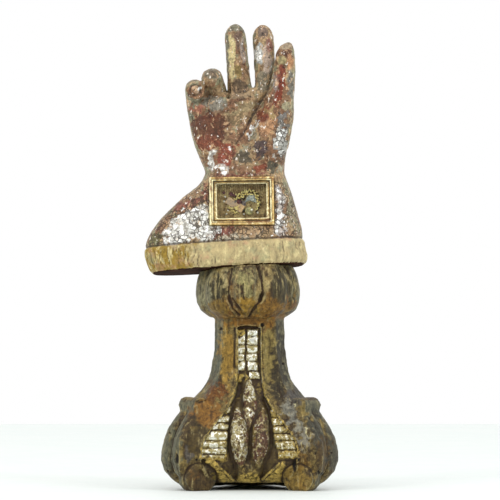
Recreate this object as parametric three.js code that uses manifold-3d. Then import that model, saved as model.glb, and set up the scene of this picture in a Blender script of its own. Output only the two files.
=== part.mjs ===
// Reliquary hand: a carved and silvered wooden hand with a sleeve and a relic window, standing on a
// carved three-sided foot. Millimetres, +Z up, the palm faces -Y.
import * as THREE from 'three';
import { mergeVertices } from 'three/addons/utils/BufferGeometryUtils.js';
import Module from 'manifold-3d';

const wasm = await Module();
wasm.setup();

// Driving dimensions
const FIT_GAP = 0.3;

// Cutting slabs reach past everything that they trim
const SLAB_REACH = 200;
const SLAB_DEPTH = 60;

// The seat is the flat joint between the sleeve and the knop. It drops to the left and to the back.
const SEAT_HEIGHT = 219.8;
const SEAT_RISE_X = 0.0625;
const SEAT_RISE_Y = -0.0875;

// Foot: three corners carry scroll consoles, three faces carry sunk panels
const FACE_COUNT = 3;
const BASE_UNDERSIDE = 7.6;
const BODY_TOP = 176;
const PANEL_TOP = 161;
const PANEL_DEPTH = 3.4;
const RIM_WIDTH = 3.2;
const RIM_HEIGHT = 1.1;
const FLANK_HOLLOW = 1.4;
// [height, how far the faces tuck in behind the rolls]
const FACE_TUCK = [[0, 7], [8, 6], [14, 4], [21, 1.6], [30, 0], [176, 0]];
// [height, half width of the silhouette, width of the console's outer face]
const FOOT_PROFILE = [
  [0, 58, 38], [8, 72, 39], [17, 82.3, 41], [28, 87.2, 42], [38, 86.9, 42], [49, 84.5, 41], [63, 78.3, 38],
  [76, 68.6, 34.5], [84, 61.9, 31], [91, 56, 28.5], [97, 50.3, 26], [104, 44.6, 23], [114, 39.8, 21],
  [130, 37, 19.5], [148, 35.3, 19], [176, 35, 19],
];
// [height, half width of the sunk panel]
const PANEL_PROFILE = [
  [0, 33], [12, 39], [22, 44], [34, 47], [42, 46.8], [49, 45.3], [58, 40], [69, 31.5], [80, 22.5], [93, 15.2],
  [103, 12.8], [118, 11.2], [161, 11],
];

// Scroll consoles
const ROLL = { radius: 14.5, stretch: 1.2, out: 69, up: 12, sides: 16 };
// Where each corner's roll starts and ends along its axis: right, back, left
const ROLL_SPANS = [[-24.5, -8], [-24.5, 24.5], [8, 24.5]];
const BAND_END = { out: 68, up: -1.1 };
const SHOULDER_BEAD = { radius: 8.6, out: 64.2, up: 83.4, length: 32.6, sides: 12 };
const LOBE_HEIGHT = 4.2;
const CONSOLE_THICKNESS = 12;

// Boards that close the two faces that look back, nearly to the ground
const SKIRT = { underside: 1.5, top: 10, length: 84, thickness: 8, setBack: 2 };

// Ribs of the front panel: two columns above, and one at each side of the petals below
const UPPER_RIBS = { rows: 5, top: 155.7, pitch: 8.4, radius: 3.6, columns: [[-11.6, -5.2], [-2.6, 8]] };
const LOWER_RIBS = {
  left: [78.5, 71, 63.4, 54.6, 46, 39.4, 33.4],
  right: [75.4, 68.2, 60.5, 53.2, 45, 36],
  radius: 3.3,
  inner: 20.5,
  spread: 0.1,
  bite: 0.4,
};

// Petals on a panel: tip and foot as [across, height], half width and swell
const UPPER_PETAL = { tip: [0, 110], foot: [0, 74], halfWidth: 7.6, swell: 5.4 };
const LEFT_PETAL = { tip: [-11.5, 81], foot: [-7, 25], halfWidth: 9.4, swell: 7 };
const RIGHT_PETAL = { tip: [13.6, 81], foot: [8.4, 25], halfWidth: 8.4, swell: 7 };
const BOTTOM_PETAL = { tip: [-2, 27], foot: [-1, -14], halfWidth: 13, swell: 4.6 };
const PLAIN_PETAL = { tip: [0, 104], foot: [0, 18], halfWidth: 11, swell: 6 };
const LEFT_RIDGE = { tip: [-34, 33], foot: [-16, 9], halfWidth: 2.6, swell: 2.6 };
const RIGHT_RIDGE = { tip: [35, 33], foot: [16.5, 11], halfWidth: 2.6, swell: 2.6 };

// Knop
const KNOP_RADIUS = 52.4;
const KNOP_SHIFT = -1.6;
const KNOP_MIDDLE = 197;
const KNOP_TOP = 232;
const KNOP_BOTTOM = 170.5;
const KNOP_ABOVE = { semiAxis: 49, power: 2 };
const KNOP_BELOW = { semiAxis: 31, power: 3 };
const KNOP_LEAF_HALF_ANGLE = 16;
const KNOP_GROOVE_DEPTH = 4.6;
const KNOP_TURN = -4;
const KNOP_LEAF_FULLNESS = 1.5;
const KNOP_LEAF_OPENING = 1.9;

// Window in the sleeve, before it is tilted into place
const WINDOW_CENTRE = new THREE.Vector3(-7.9, -37.4, 287);
const WINDOW_ROLL = -0.8;
const WINDOW_LEAN = -6.5;
const FRAME_WIDTH = 64.4;
const FRAME_HEIGHT = 48.2;
const FRAME_DEPTH = 15;
const OPENING_WIDTH = 49;
const OPENING_HEIGHT = 34;
const REBATE = 1.6;
const GLASS_FRONT = 4.3;
const GLASS_THICKNESS = 1.2;
const BED_THICKNESS = 3;
const WIRE_RADIUS = 0.55;
const WIRE_SIDES = 5;

// Shared helpers

/** Smooth value along a table of [position, value, value...] rows. */
function track(rows, column = 1) {
  const at = (i) => rows[Math.min(Math.max(i, 0), rows.length - 1)];
  return (position) => {
    let i = rows.findIndex((row) => row[0] > position) - 1;
    if (i === -2) i = rows.length - 2;
    i = Math.max(i, 0);
    const [before, from, to, after] = [at(i - 1), at(i), at(i + 1), at(i + 2)];
    const span = to[0] - from[0];
    const t = THREE.MathUtils.clamp((position - from[0]) / span, 0, 1);
    const slopeFrom = (to[column] - before[column]) / Math.max(to[0] - before[0], 1e-6) * span;
    const slopeTo = (after[column] - from[column]) / Math.max(after[0] - from[0], 1e-6) * span;
    const t2 = t * t;
    const t3 = t2 * t;
    return (2 * t3 - 3 * t2 + 1) * from[column] + (t3 - 2 * t2 + t) * slopeFrom
      + (3 * t2 - 2 * t3) * to[column] + (t3 - t2) * slopeTo;
  };
}

/** Closed body through rings of points, each with the same number of points, closed by flat fans. */
function loft(rings) {
  const count = rings[0].length;
  const positions = rings.flat().flatMap((point) => point.toArray());
  const triangles = [];
  for (let row = 0; row < rings.length - 1; row += 1) {
    for (let i = 0; i < count; i += 1) {
      const next = (i + 1) % count;
      const [a, b] = [row * count + i, row * count + next];
      triangles.push(a, b, b + count, a, b + count, a + count);
    }
  }
  [0, rings.length - 1].forEach((row) => {
    const middle = new THREE.Vector3();
    rings[row].forEach((point) => middle.addScaledVector(point, 1 / count));
    const tip = positions.length / 3;
    positions.push(...middle.toArray());
    for (let i = 0; i < count; i += 1) {
      const [a, b] = [row * count + i, row * count + (i + 1) % count];
      if (row === 0) triangles.push(b, a, tip);
      else triangles.push(a, b, tip);
    }
  });
  const geometry = new THREE.BufferGeometry();
  geometry.setAttribute('position', new THREE.Float32BufferAttribute(positions, 3));
  geometry.setIndex(triangles);
  return geometry;
}

/** Body that goes round a closed path: every ring joins the next, and the last joins the first. */
function loopLoft(rings) {
  const count = rings[0].length;
  const positions = rings.flat().flatMap((point) => point.toArray());
  const triangles = [];
  rings.forEach((ring, row) => {
    const nextRow = ((row + 1) % rings.length) * count;
    for (let i = 0; i < count; i += 1) {
      const next = (i + 1) % count;
      const [a, b] = [row * count + i, row * count + next];
      triangles.push(a, b, nextRow + next, a, nextRow + next, nextRow + i);
    }
  });
  const geometry = new THREE.BufferGeometry();
  geometry.setAttribute('position', new THREE.Float32BufferAttribute(positions, 3));
  geometry.setIndex(triangles);
  return geometry;
}

/** Merged, outward-facing copy of a closed geometry, with positions only. */
function weld(source) {
  const bare = source.clone();
  bare.deleteAttribute('normal');
  bare.deleteAttribute('uv');
  const merged = mergeVertices(bare, 1e-4);
  const place = merged.attributes.position;
  const corner = (i) => new THREE.Vector3().fromBufferAttribute(place, i);
  const kept = [];
  let volume = 0;
  for (let i = 0; i < merged.index.count; i += 3) {
    const [a, b, c] = [0, 1, 2].map((k) => merged.index.getX(i + k));
    if (a === b || b === c || c === a) continue;
    kept.push([a, b, c]);
    volume += corner(a).dot(corner(b).cross(corner(c)));
  }
  merged.setIndex(kept.flatMap(([a, b, c]) => (volume < 0 ? [a, c, b] : [a, b, c])));
  return merged;
}

/** Solid for joining and cutting. */
function solid(geometry) {
  const merged = weld(geometry);
  return new wasm.Manifold(new wasm.Mesh({
    numProp: 3,
    vertProperties: new Float32Array(merged.attributes.position.array),
    triVerts: new Uint32Array(merged.index.array),
  }));
}

/** Geometry of a finished solid. */
function geometryOf(body) {
  const mesh = body.getMesh();
  const geometry = new THREE.BufferGeometry();
  geometry.setAttribute('position', new THREE.Float32BufferAttribute(mesh.vertProperties, 3));
  geometry.setIndex(Array.from(mesh.triVerts));
  geometry.computeVertexNormals();
  return geometry;
}

/** All the geometries as one solid. */
function joined(geometries) {
  return geometries.map(solid).reduce((sum, body) => sum.add(body));
}

/** Points of a rounded box outline between four sides. */
function squareOval(left, right, front, back, power, count, lift) {
  const [middleX, middleY] = [(left + right) / 2, (front + back) / 2];
  const [halfX, halfY] = [(right - left) / 2, (back - front) / 2];
  const round = (value) => Math.sign(value) * Math.abs(value) ** (2 / power);
  return Array.from({ length: count }, (_, i) => {
    const angle = (i / count) * 2 * Math.PI;
    const x = middleX + halfX * round(Math.cos(angle));
    const y = middleY + halfY * round(Math.sin(angle));
    return new THREE.Vector3(x, y, lift(x, y));
  });
}

/** Limb with oval sections along a smooth path: stations are [x, y, z, half width, half depth]. */
function limb(stations, sides, steps) {
  const path = new THREE.CatmullRomCurve3(stations.map(([x, y, z]) => new THREE.Vector3(x, y, z)));
  const last = stations.length - 1;
  const halfWidth = track(stations.map((row, i) => [i / last, row[3]]));
  const halfDepth = track(stations.map((row, i) => [i / last, row[4]]));
  const rings = Array.from({ length: steps + 1 }, (_, step) => {
    const t = step / steps;
    const centre = path.getPoint(t);
    const along = path.getTangent(t);
    const side = new THREE.Vector3(1, 0, 0).addScaledVector(along, -along.x).normalize();
    const front = new THREE.Vector3().crossVectors(along, side);
    return Array.from({ length: sides }, (unused, i) => {
      const angle = (i / sides) * 2 * Math.PI;
      return centre.clone()
        .addScaledVector(side, Math.cos(angle) * halfWidth(t))
        .addScaledVector(front, Math.sin(angle) * halfDepth(t));
    });
  });
  return loft(rings);
}

/** Box from one corner to the other. */
function boxBetween(low, high) {
  const size = new THREE.Vector3().subVectors(high, low);
  const middle = new THREE.Vector3().addVectors(low, high).multiplyScalar(0.5);
  return new THREE.BoxGeometry(size.x, size.y, size.z).translate(middle.x, middle.y, middle.z);
}

/** Slab whose upper face is level, at this height. */
function slabBelow(height) {
  return boxBetween(new THREE.Vector3(-SLAB_REACH, -SLAB_REACH, height - SLAB_DEPTH),
    new THREE.Vector3(SLAB_REACH, SLAB_REACH, height));
}

const seatHeight = (x, y) => SEAT_HEIGHT + SEAT_RISE_X * x + SEAT_RISE_Y * y;

/** Slab whose lower or upper face is the seat, reaching away from it. */
function seatSlab(offset, reach) {
  const corners = [[-1, -1], [1, -1], [1, 1], [-1, 1]].map((signs) => signs.map((sign) => sign * SLAB_REACH));
  const ring = (shift) => corners.map(([x, y]) => new THREE.Vector3(x, y, seatHeight(x, y) + shift));
  return loft([ring(offset), ring(offset + reach)]);
}

// Foot

const footHalfWidth = track(FOOT_PROFILE, 1);
const consoleWidth = track(FOOT_PROFILE, 2);
const panelHalfWidth = track(PANEL_PROFILE);
const faceTuck = track(FACE_TUCK);

/** Plan of the foot at a height: how far out the consoles and the faces stand. */
function footPlan(height) {
  const width = consoleWidth(height);
  const cornerOut = (footHalfWidth(height) - width * 0.25) / Math.cos(Math.PI / 6);
  return {
    width,
    cornerOut,
    faceOut: cornerOut * 0.5 + width * Math.cos(Math.PI / 6) / 2 - faceTuck(height),
    faceHalf: cornerOut * Math.cos(Math.PI / 6) - width * 0.25,
  };
}

/** Point on a face: across to the right, out from the axis, and up. */
function onFace(face, across, out, height) {
  const angle = THREE.MathUtils.degToRad(-90 + face * 120);
  const [outX, outY] = [Math.cos(angle), Math.sin(angle)];
  return new THREE.Vector3(outX * out - outY * across, outY * out + outX * across, height);
}

/** Relief across one face from its middle to its right edge, as [across, height of the relief]. */
function faceRelief(height) {
  const { faceHalf } = footPlan(height);
  const half = panelHalfWidth(height);
  const rim = half + RIM_WIDTH;
  const flank = (faceHalf + rim) / 2;
  const section = [[0, -PANEL_DEPTH], [half, -PANEL_DEPTH], [half + 0.5, RIM_HEIGHT], [rim - 0.5, RIM_HEIGHT],
    [rim, -FLANK_HOLLOW / 2], [flank, -FLANK_HOLLOW], [faceHalf, 0]];
  return height > PANEL_TOP ? section.map(([across]) => [across, 0]) : section;
}

/** Three-sided body of the foot with its sunk, rimmed panels. */
function footBody() {
  const heights = [BASE_UNDERSIDE, 14, 22, 32, 44, 54, 64, 74, 84, 92, 99, 107, 118, 138,
    PANEL_TOP - 0.4, PANEL_TOP + 0.4, BODY_TOP];
  return loft(heights.map((height) => {
    const { faceOut } = footPlan(height);
    const right = faceRelief(height);
    const left = right.slice(1).reverse().map(([across, relief]) => [-across, relief]);
    const section = [...left, ...right];
    return Array.from({ length: FACE_COUNT }, (_, face) => section.map(
      ([across, relief]) => onFace(face, across, faceOut + relief, height))).flat();
  }));
}

/** Turns a geometry made on the +X side so that it stands at one of the three corners. */
function toCorner(geometry, corner) {
  return geometry.rotateZ(THREE.MathUtils.degToRad(-30 + corner * 120));
}

/** Two-lobed band of a console, swept down its outer curve and under to the roll. */
function consoleBand(corner) {
  const heights = [79, 70, 60, 50, 40, 30, 20, 11, 5];
  const curve = heights.map((height) => new THREE.Vector2(footPlan(height).cornerOut, height));
  curve.push(new THREE.Vector2(BAND_END.out, BAND_END.up));
  const lobes = [-1, -0.86, -0.5, -0.14, 0, 0.14, 0.5, 0.86, 1];
  const lobeRise = (v) => LOBE_HEIGHT * Math.sqrt(Math.max(0, 1 - (2 * Math.abs(v) - 1) ** 2));
  const rings = curve.map((point, i) => {
    const [before, after] = [curve[Math.max(i - 1, 0)], curve[Math.min(i + 1, curve.length - 1)]];
    const along = new THREE.Vector2().subVectors(after, before);
    const normal = new THREE.Vector2(-along.y, along.x).normalize();
    const half = consoleWidth(point.y) / 2;
    const outer = lobes.map((v) => [v * half, lobeRise(v)]);
    const section = [...outer, [half * 0.96, -CONSOLE_THICKNESS], [-half * 0.96, -CONSOLE_THICKNESS]];
    return section.map(([across, out]) => new THREE.Vector3(
      point.x + normal.x * out, across, point.y + normal.y * out));
  });
  return toCorner(loft(rings), corner);
}

/** Scroll end under a console: an oval roll that shows on the front, and right across at the back. */
function consoleRoll(corner) {
  const { radius, stretch, out, up, sides } = ROLL;
  const [from, to] = ROLL_SPANS[corner];
  const roll = new THREE.CylinderGeometry(radius, radius, to - from, sides).scale(stretch, 1, 1);
  return toCorner(roll.translate(out, (from + to) / 2, up), corner);
}

/** Bead lying across the top of a console. */
function shoulderBead(corner) {
  const { radius, out, up, length, sides } = SHOULDER_BEAD;
  return toCorner(new THREE.CylinderGeometry(radius, radius, length, sides).translate(out, 0, up), corner);
}

/** One rib across the panel floor, between two places, at a height. */
function panelRib(fromAcross, toAcross, height, radius) {
  const length = Math.abs(toAcross - fromAcross);
  const out = footPlan(height).faceOut - PANEL_DEPTH - radius * 0.25;
  const rib = new THREE.CylinderGeometry(radius, radius, length, 6);
  rib.rotateZ(Math.PI / 2);
  const place = onFace(0, (fromAcross + toAcross) / 2, out, height);
  return rib.translate(place.x, place.y, place.z);
}

/** Pointed petal standing on a panel floor, from its tip down to its foot. */
function panelPetal(face, { tip, foot, halfWidth, swell }, steps = 5) {
  const rings = Array.from({ length: steps + 1 }, (_, step) => {
    const t = step / steps;
    const across = THREE.MathUtils.lerp(tip[0], foot[0], t);
    const height = THREE.MathUtils.lerp(tip[1], foot[1], t);
    const fullness = Math.sin(Math.PI * Math.min(t * 0.92 + 0.04, 1)) ** 0.8;
    const half = halfWidth * fullness;
    const floor = footPlan(height).faceOut - PANEL_DEPTH;
    const crown = swell * fullness;
    return [[-1, -2], [-1, 0.2], [-0.55, crown * 0.75], [0, crown], [0.55, crown * 0.75], [1, 0.2], [1, -2]]
      .map(([side, out]) => onFace(face, across + side * half, floor + out, height));
  });
  return loft(rings);
}

/** Upper two columns of short ribs, and the long ribs left and right of the petals. */
function panelRibs() {
  const ribs = [];
  for (let row = 0; row < UPPER_RIBS.rows; row += 1) {
    const height = UPPER_RIBS.top - row * UPPER_RIBS.pitch;
    UPPER_RIBS.columns.forEach(([from, to]) => ribs.push(panelRib(from, to, height, UPPER_RIBS.radius)));
  }
  const { left, right, radius, inner, spread, bite } = LOWER_RIBS;
  [[left, -1], [right, 1]].forEach(([heights, side]) => heights.forEach((height) => {
    const edge = panelHalfWidth(height) + bite;
    const start = inner + Math.max(0, left[2] - height) * spread;
    ribs.push(panelRib(side * start, side * edge, height, radius));
  }));
  return ribs;
}

/** Board behind the foot of a face that looks back. */
function skirtBoard(face) {
  const { underside, top, length, thickness, setBack } = SKIRT;
  const out = footPlan(BASE_UNDERSIDE).faceOut - PANEL_DEPTH - setBack - thickness / 2;
  const place = onFace(face, 0, out, (underside + top) / 2);
  return new THREE.BoxGeometry(length, thickness, top - underside)
    .rotateZ(THREE.MathUtils.degToRad(face * 120))
    .translate(place.x, place.y, place.z);
}

/** Petals of the front panel, and the plainer one on each of the two faces that look back. */
function panelPetals() {
  const front = [UPPER_PETAL, LEFT_PETAL, RIGHT_PETAL, BOTTOM_PETAL].map((petal) => panelPetal(0, petal));
  const plain = [1, 2].map((face) => panelPetal(face, PLAIN_PETAL, 4));
  return [...front, ...plain];
}

/** Ridges that run from under the ribs down to the foot of the panel. */
function panelRidges() {
  return [LEFT_RIDGE, RIGHT_RIDGE].map((ridge) => panelPetal(0, ridge, 3));
}

/** Knop with three pointed leaves and six gadroons. */
function knop() {
  const rows = 8;
  const pointsPerLobe = 5;
  const rings = Array.from({ length: rows + 1 }, (_, row) => {
    const rise = row / rows;
    const height = THREE.MathUtils.lerp(KNOP_BOTTOM, KNOP_TOP, rise);
    const { semiAxis, power } = height > KNOP_MIDDLE ? KNOP_ABOVE : KNOP_BELOW;
    const radius = KNOP_RADIUS * (1 - (Math.abs(height - KNOP_MIDDLE) / semiAxis) ** power) ** (1 / power);
    const opening = Math.sin(Math.min(rise * KNOP_LEAF_OPENING + 0.04, 1) * Math.PI / 2);
    const leafHalf = KNOP_LEAF_HALF_ANGLE * opening;
    const ring = [];
    for (let face = 0; face < FACE_COUNT; face += 1) {
      const middle = -90 + face * 120 + KNOP_TURN;
      const lobes = [[-leafHalf, leafHalf, KNOP_LEAF_FULLNESS], [leafHalf, 60, 1], [60, 120 - leafHalf, 1]];
      lobes.forEach(([from, to, fullness]) => {
        for (let i = 0; i < pointsPerLobe; i += 1) {
          const across = i / pointsPerLobe;
          const angle = THREE.MathUtils.degToRad(middle + THREE.MathUtils.lerp(from, to, across));
          const swell = fullness * Math.sin(Math.PI * across) ** 0.7;
          const out = radius - KNOP_GROOVE_DEPTH * Math.max(0, 1 - swell);
          ring.push(new THREE.Vector3(KNOP_SHIFT + Math.cos(angle) * out, Math.sin(angle) * out, height));
        }
      });
    }
    return ring;
  });
  return loft(rings);
}

/** The whole foot: body, consoles, panels and knop, cut flat under the rolls and at the seat. */
function standGeometry() {
  const corners = [0, 1, 2];
  const consoles = [
    ...corners.map(consoleBand),
    ...corners.map(consoleRoll),
    ...corners.map(shoulderBead),
  ];
  const body = [footBody(), knop(), ...panelRibs(), ...panelPetals(), ...panelRidges()];
  return geometryOf(joined(body).subtract(solid(slabBelow(BASE_UNDERSIDE)))
    .add(joined(consoles).subtract(solid(slabBelow(0))))
    .add(joined([1, 2].map(skirtBoard)))
    .subtract(solid(seatSlab(-FIT_GAP / 2, SLAB_DEPTH))));
}

// Hand and sleeve

// [level on the axis, left, right, front, back, share of the seat's tilt, squareness]
const ARM_PROFILE = [
  [232, -94, 44, -34, 35, 1, 3], [244, -103.8, 53.4, -39.5, 40.5, 1, 3],
  [250, -104.2, 53.2, -39.2, 40.5, 0.95, 3], [258, -100.3, 52, -38.2, 39.5, 0.8, 3],
  [270, -91, 48.6, -36.8, 38, 0.6, 3.1], [282, -78.2, 45.4, -35.4, 36, 0.4, 3.3],
  [293, -64.2, 42, -33.8, 33.5, 0.2, 3.5], [302, -52, 39, -32.2, 31, 0.06, 3.5],
  [310, -45.6, 36.2, -30.4, 28.7, 0, 3.2], [315, -44, 34.8, -28.6, 27.4, 0, 2.9],
  [326, -48.6, 35.2, -24.9, 24.8, 0, 2.6], [339, -54, 37.2, -21.5, 23, 0, 2.5],
  [353, -58.2, 35.4, -18.5, 21, 0, 2.5], [370, -60.9, 28.5, -16, 19, 0, 2.5],
  [383, -62.6, 26.5, -14, 17.5, 0, 2.5], [391, -62.8, 25.4, -12, 15, 0, 2.5],
  [396, -60, 23, -8, 11, 0, 2.5],
];
const ARM_POINTS = 32;
const WEB_RISE = 0.17;
const WEB_START = 353;

// Fringe band: [height above the seat, left, right, front, back]
const FRINGE_PROFILE = [
  [0, -96, 53, -39.5, 40.5], [3.6, -99.3, 56.8, -42, 43], [9, -101.8, 57.2, -43, 44],
  [16, -104, 55.2, -42.8, 43.6], [23.6, -104.8, 54, -42, 42.6], [26, -100, 50, -37.4, 38.4],
];
const FRINGE_SQUARENESS = 3;
const FRINGE_STRANDS = 42;
const STRAND_DEPTH = 0.8;

// Fingers and thumb: [x, y, z, half width, half depth]
const MIDDLE_FINGER = [
  [-9, 2, 380, 12.6, 12], [-9.4, 1, 395, 12.1, 11.5], [-11, 0, 410, 11.5, 11],
  [-12.4, -1, 428, 11, 10.4], [-13.6, -1.5, 443, 10.6, 10], [-14.2, -1, 452, 10.4, 9.6],
  [-14.3, -0.5, 459, 8, 7.4], [-14.3, 0, 463.4, 2.6, 2.4],
];
const INDEX_FINGER = [
  [16.4, 2, 380, 12.2, 12], [16.6, 2, 395, 11.6, 11.4], [15.9, 1, 410, 10.9, 10.6],
  [14.8, 0, 428, 10.5, 10], [13.9, 0, 443, 10.5, 9.8], [13.3, 1, 451, 10.3, 9.4],
  [12.9, 1.5, 458, 8, 7.2], [12.7, 2, 462.6, 2.6, 2.4],
];
const THUMB = [
  [9, -7, 322, 15, 15], [15.6, -11, 338, 20.6, 18], [21.2, -13, 353, 20.4, 17.5],
  [26.4, -15, 370, 17.6, 15.5], [30.2, -16, 388, 14.8, 13], [32.6, -16, 400, 12.6, 11.8],
  [34.8, -15, 416, 10.6, 10.6], [35.2, -13, 429, 10, 9.8], [37.2, -11, 438, 7.9, 7.8],
  [39.6, -9.6, 444.6, 2.2, 2.2],
];
const RING_FINGER = [
  [-32, 3, 378, 12, 11], [-34.4, 3, 396, 11.4, 10.6], [-37, 0, 406, 10.9, 10.6],
  [-37.4, -8, 409.6, 10.6, 10.2], [-37.4, -15, 407.6, 10, 9.4], [-37.2, -19.5, 405, 6.8, 6.2],
  [-37.2, -21.6, 404, 2, 2],
];
const LITTLE_FINGER = [
  [-51.2, 3, 374, 10.6, 11], [-52.8, 2, 388, 11, 10.6], [-54, -3, 396, 10.6, 10.4],
  [-54.2, -11, 397.6, 10.2, 10.2], [-54.2, -19, 397.4, 10, 10], [-54.2, -23.6, 397.2, 9.2, 9.2],
  [-54.2, -24.6, 397.2, 8, 8],
];
const LITTLE_TIP_RADIUS = 7.4;
const LITTLE_TIP = new THREE.Vector3(-54.2, -22.4, 397.2);

const seatTilt = (x, y) => seatHeight(x, y) - SEAT_HEIGHT;

/** Sleeve, wrist and palm as one rounded form. */
function armGeometry() {
  return loft(ARM_PROFILE.map(([level, left, right, front, back, tilt, squareness]) => {
    const web = Math.max(0, level - WEB_START) / (ARM_PROFILE.at(-1)[0] - WEB_START) * WEB_RISE;
    const middle = (left + right) / 2;
    return squareOval(left, right, front, back, squareness, ARM_POINTS,
      (x, y) => level + tilt * seatTilt(x, y) + web * (x - middle));
  }));
}

/** Carved fringe round the foot of the sleeve, its strands standing and falling in turn. */
function fringeGeometry() {
  return loft(FRINGE_PROFILE.map(([rise, left, right, front, back], row) => {
    const middle = new THREE.Vector3((left + right) / 2, (front + back) / 2, 0);
    const strand = row > 0 && row < FRINGE_PROFILE.length - 1 ? STRAND_DEPTH : 0;
    return squareOval(left, right, front, back, FRINGE_SQUARENESS, FRINGE_STRANDS * 2,
      (x, y) => seatHeight(x, y) + rise).map((point, i) => {
      const outward = new THREE.Vector3(point.x - middle.x, point.y - middle.y, 0).normalize();
      return point.addScaledVector(outward, i % 2 ? strand : -strand);
    });
  }));
}

/** Places a geometry made round the window's own centre into the tilted window. */
function placeInWindow(object) {
  object.position.copy(WINDOW_CENTRE);
  object.rotation.set(THREE.MathUtils.degToRad(WINDOW_LEAN), THREE.MathUtils.degToRad(WINDOW_ROLL), 0);
  object.updateMatrix();
  return object;
}

/** Pocket that the frame and the niche fill. */
function windowPocket() {
  const [halfX, halfZ] = [FRAME_WIDTH / 2 + FIT_GAP, FRAME_HEIGHT / 2 + FIT_GAP];
  const pocket = boxBetween(
    new THREE.Vector3(-halfX, -20, -halfZ), new THREE.Vector3(halfX, FRAME_DEPTH + FIT_GAP, halfZ));
  return pocket.applyMatrix4(placeInWindow(new THREE.Object3D()).matrix);
}

/** The hand with its sleeve and fringe, open where the window sits, flat under the sleeve. */
function handGeometry() {
  const littleTip = new THREE.SphereGeometry(LITTLE_TIP_RADIUS, 10, 6)
    .scale(1, 0.62, 1).translate(LITTLE_TIP.x, LITTLE_TIP.y, LITTLE_TIP.z);
  const pieces = [
    armGeometry(),
    fringeGeometry(),
    limb(MIDDLE_FINGER, 10, 9),
    limb(INDEX_FINGER, 10, 9),
    limb(THUMB, 12, 11),
    limb(RING_FINGER, 10, 8),
    limb(LITTLE_FINGER, 10, 7),
    littleTip,
  ];
  return geometryOf(joined(pieces).subtract(solid(windowPocket()))
    .subtract(solid(seatSlab(FIT_GAP / 2, -SLAB_DEPTH))));
}

// Window and what lies in it, made round the window's centre: front at y = 0, inward is +Y

/** Moulded frame: an outer double bead, a groove, and a lower inner bead with a rebate behind it. */
function frameGeometry() {
  const sideWidth = (FRAME_WIDTH - OPENING_WIDTH) / 2;
  // [share of the way in from the outer edge, depth behind the front]
  const profile = [
    [0, FRAME_DEPTH], [0, 1], [0.08, 0.2], [0.2, 0], [0.3, 0.7], [0.4, 0.3], [0.52, 0.5], [0.58, 2.4],
    [0.64, 2.6], [0.76, 1.9], [0.92, 2.2], [1, 3], [1, 4], [1 - REBATE / sideWidth, 4],
    [1 - REBATE / sideWidth, FRAME_DEPTH],
  ];
  const cornerSigns = [[-1, -1], [1, -1], [1, 1], [-1, 1]];
  return loopLoft(cornerSigns.map(([signX, signZ]) => profile.map(([inward, depth]) => {
    const x = THREE.MathUtils.lerp(FRAME_WIDTH, OPENING_WIDTH, inward) / 2;
    const z = THREE.MathUtils.lerp(FRAME_HEIGHT, OPENING_HEIGHT, inward) / 2;
    return new THREE.Vector3(signX * x, depth, signZ * z);
  })));
}

/** Flat pane or board that fits the frame's rebate. */
function rebateBoard(front, thickness) {
  const halfX = OPENING_WIDTH / 2 + REBATE - FIT_GAP;
  const halfZ = OPENING_HEIGHT / 2 + REBATE - FIT_GAP;
  return boxBetween(
    new THREE.Vector3(-halfX, front, -halfZ), new THREE.Vector3(halfX, front + thickness, halfZ));
}

/** Low cut stone or chip of a plan outline, with bevelled edges, lying on the bed. */
function chipGeometry(outline, thickness, bevel) {
  const shape = new THREE.Shape(outline.map(([x, z]) => new THREE.Vector2(x, z)));
  const chip = new THREE.ExtrudeGeometry(shape, {
    depth: thickness - bevel * 2, bevelEnabled: true, bevelThickness: bevel, bevelSize: bevel,
    bevelOffset: -bevel, bevelSegments: 1, steps: 1,
  });
  return chip.rotateX(Math.PI / 2).translate(0, FRAME_DEPTH - BED_THICKNESS - FIT_GAP * 2 - bevel, 0);
}

/** Bent wire through a few points in the niche. */
function wireGeometry(points) {
  const path = new THREE.CatmullRomCurve3(points.map(([x, y, z]) => new THREE.Vector3(x, y, z)));
  const section = new THREE.Shape(Array.from({ length: WIRE_SIDES }, (_, i) => {
    const angle = (i / WIRE_SIDES) * 2 * Math.PI;
    return new THREE.Vector2(Math.cos(angle), Math.sin(angle)).multiplyScalar(WIRE_RADIUS);
  }));
  const steps = points.length * 2;
  return new THREE.ExtrudeGeometry(section, { extrudePath: path, steps, bevelEnabled: false });
}

const STRIP_OUTLINE = [[-11, 1.2], [-9, 4.4], [11, -3.4], [9.6, -8]];
const STONE_OUTLINE = [[-5.6, -3.4], [-3.4, 1.6], [0, 5.6], [3.4, 4.6], [6, -1.6], [6.4, -4.6], [0, -2]];
const UPPER_WIRE = [
  [-7.4, 8, 2.4], [-3, 7.4, 4.2], [0.8, 6.6, 4.6], [3.4, 6.4, 7],
  [6, 6.5, 8.8], [8.2, 6.4, 7.6], [9.4, 6.4, 6],
];
const RIGHT_WIRE = [
  [12.6, 6.6, 7.6], [15.6, 7, 5], [16, 7.4, 1.4], [17.4, 7.4, -1.6], [16.4, 7.7, -5], [13.4, 7.4, -8.6],
];

// Finishes

/** Finish of one piece. */
function finish(color, roughness, metalness = 0) {
  return new THREE.MeshStandardMaterial({ color, roughness, metalness });
}

const silveredWood = finish('#7d5a4c', 0.5, 0.3);
const stainedWood = finish('#75603a', 0.6);
const giltFrame = finish('#cfae63', 0.35, 0.8);
const clearGlass = new THREE.MeshStandardMaterial({
  color: '#ffffff', roughness: 0.05, transparent: true, opacity: 0.2,
});
const mottledBed = finish('#6b5a35', 0.9);
const palePaper = finish('#a98e70', 0.8);
const blueStone = finish('#7c8a90', 0.4);
const greenishLump = finish('#7d7a52', 0.5);
const giltWire = finish('#d8b54e', 0.3, 1);

/** Named piece with its geometry and finish. */
function piece(name, geometry, material) {
  const mesh = new THREE.Mesh(geometry, material);
  mesh.name = name;
  return mesh;
}

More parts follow.
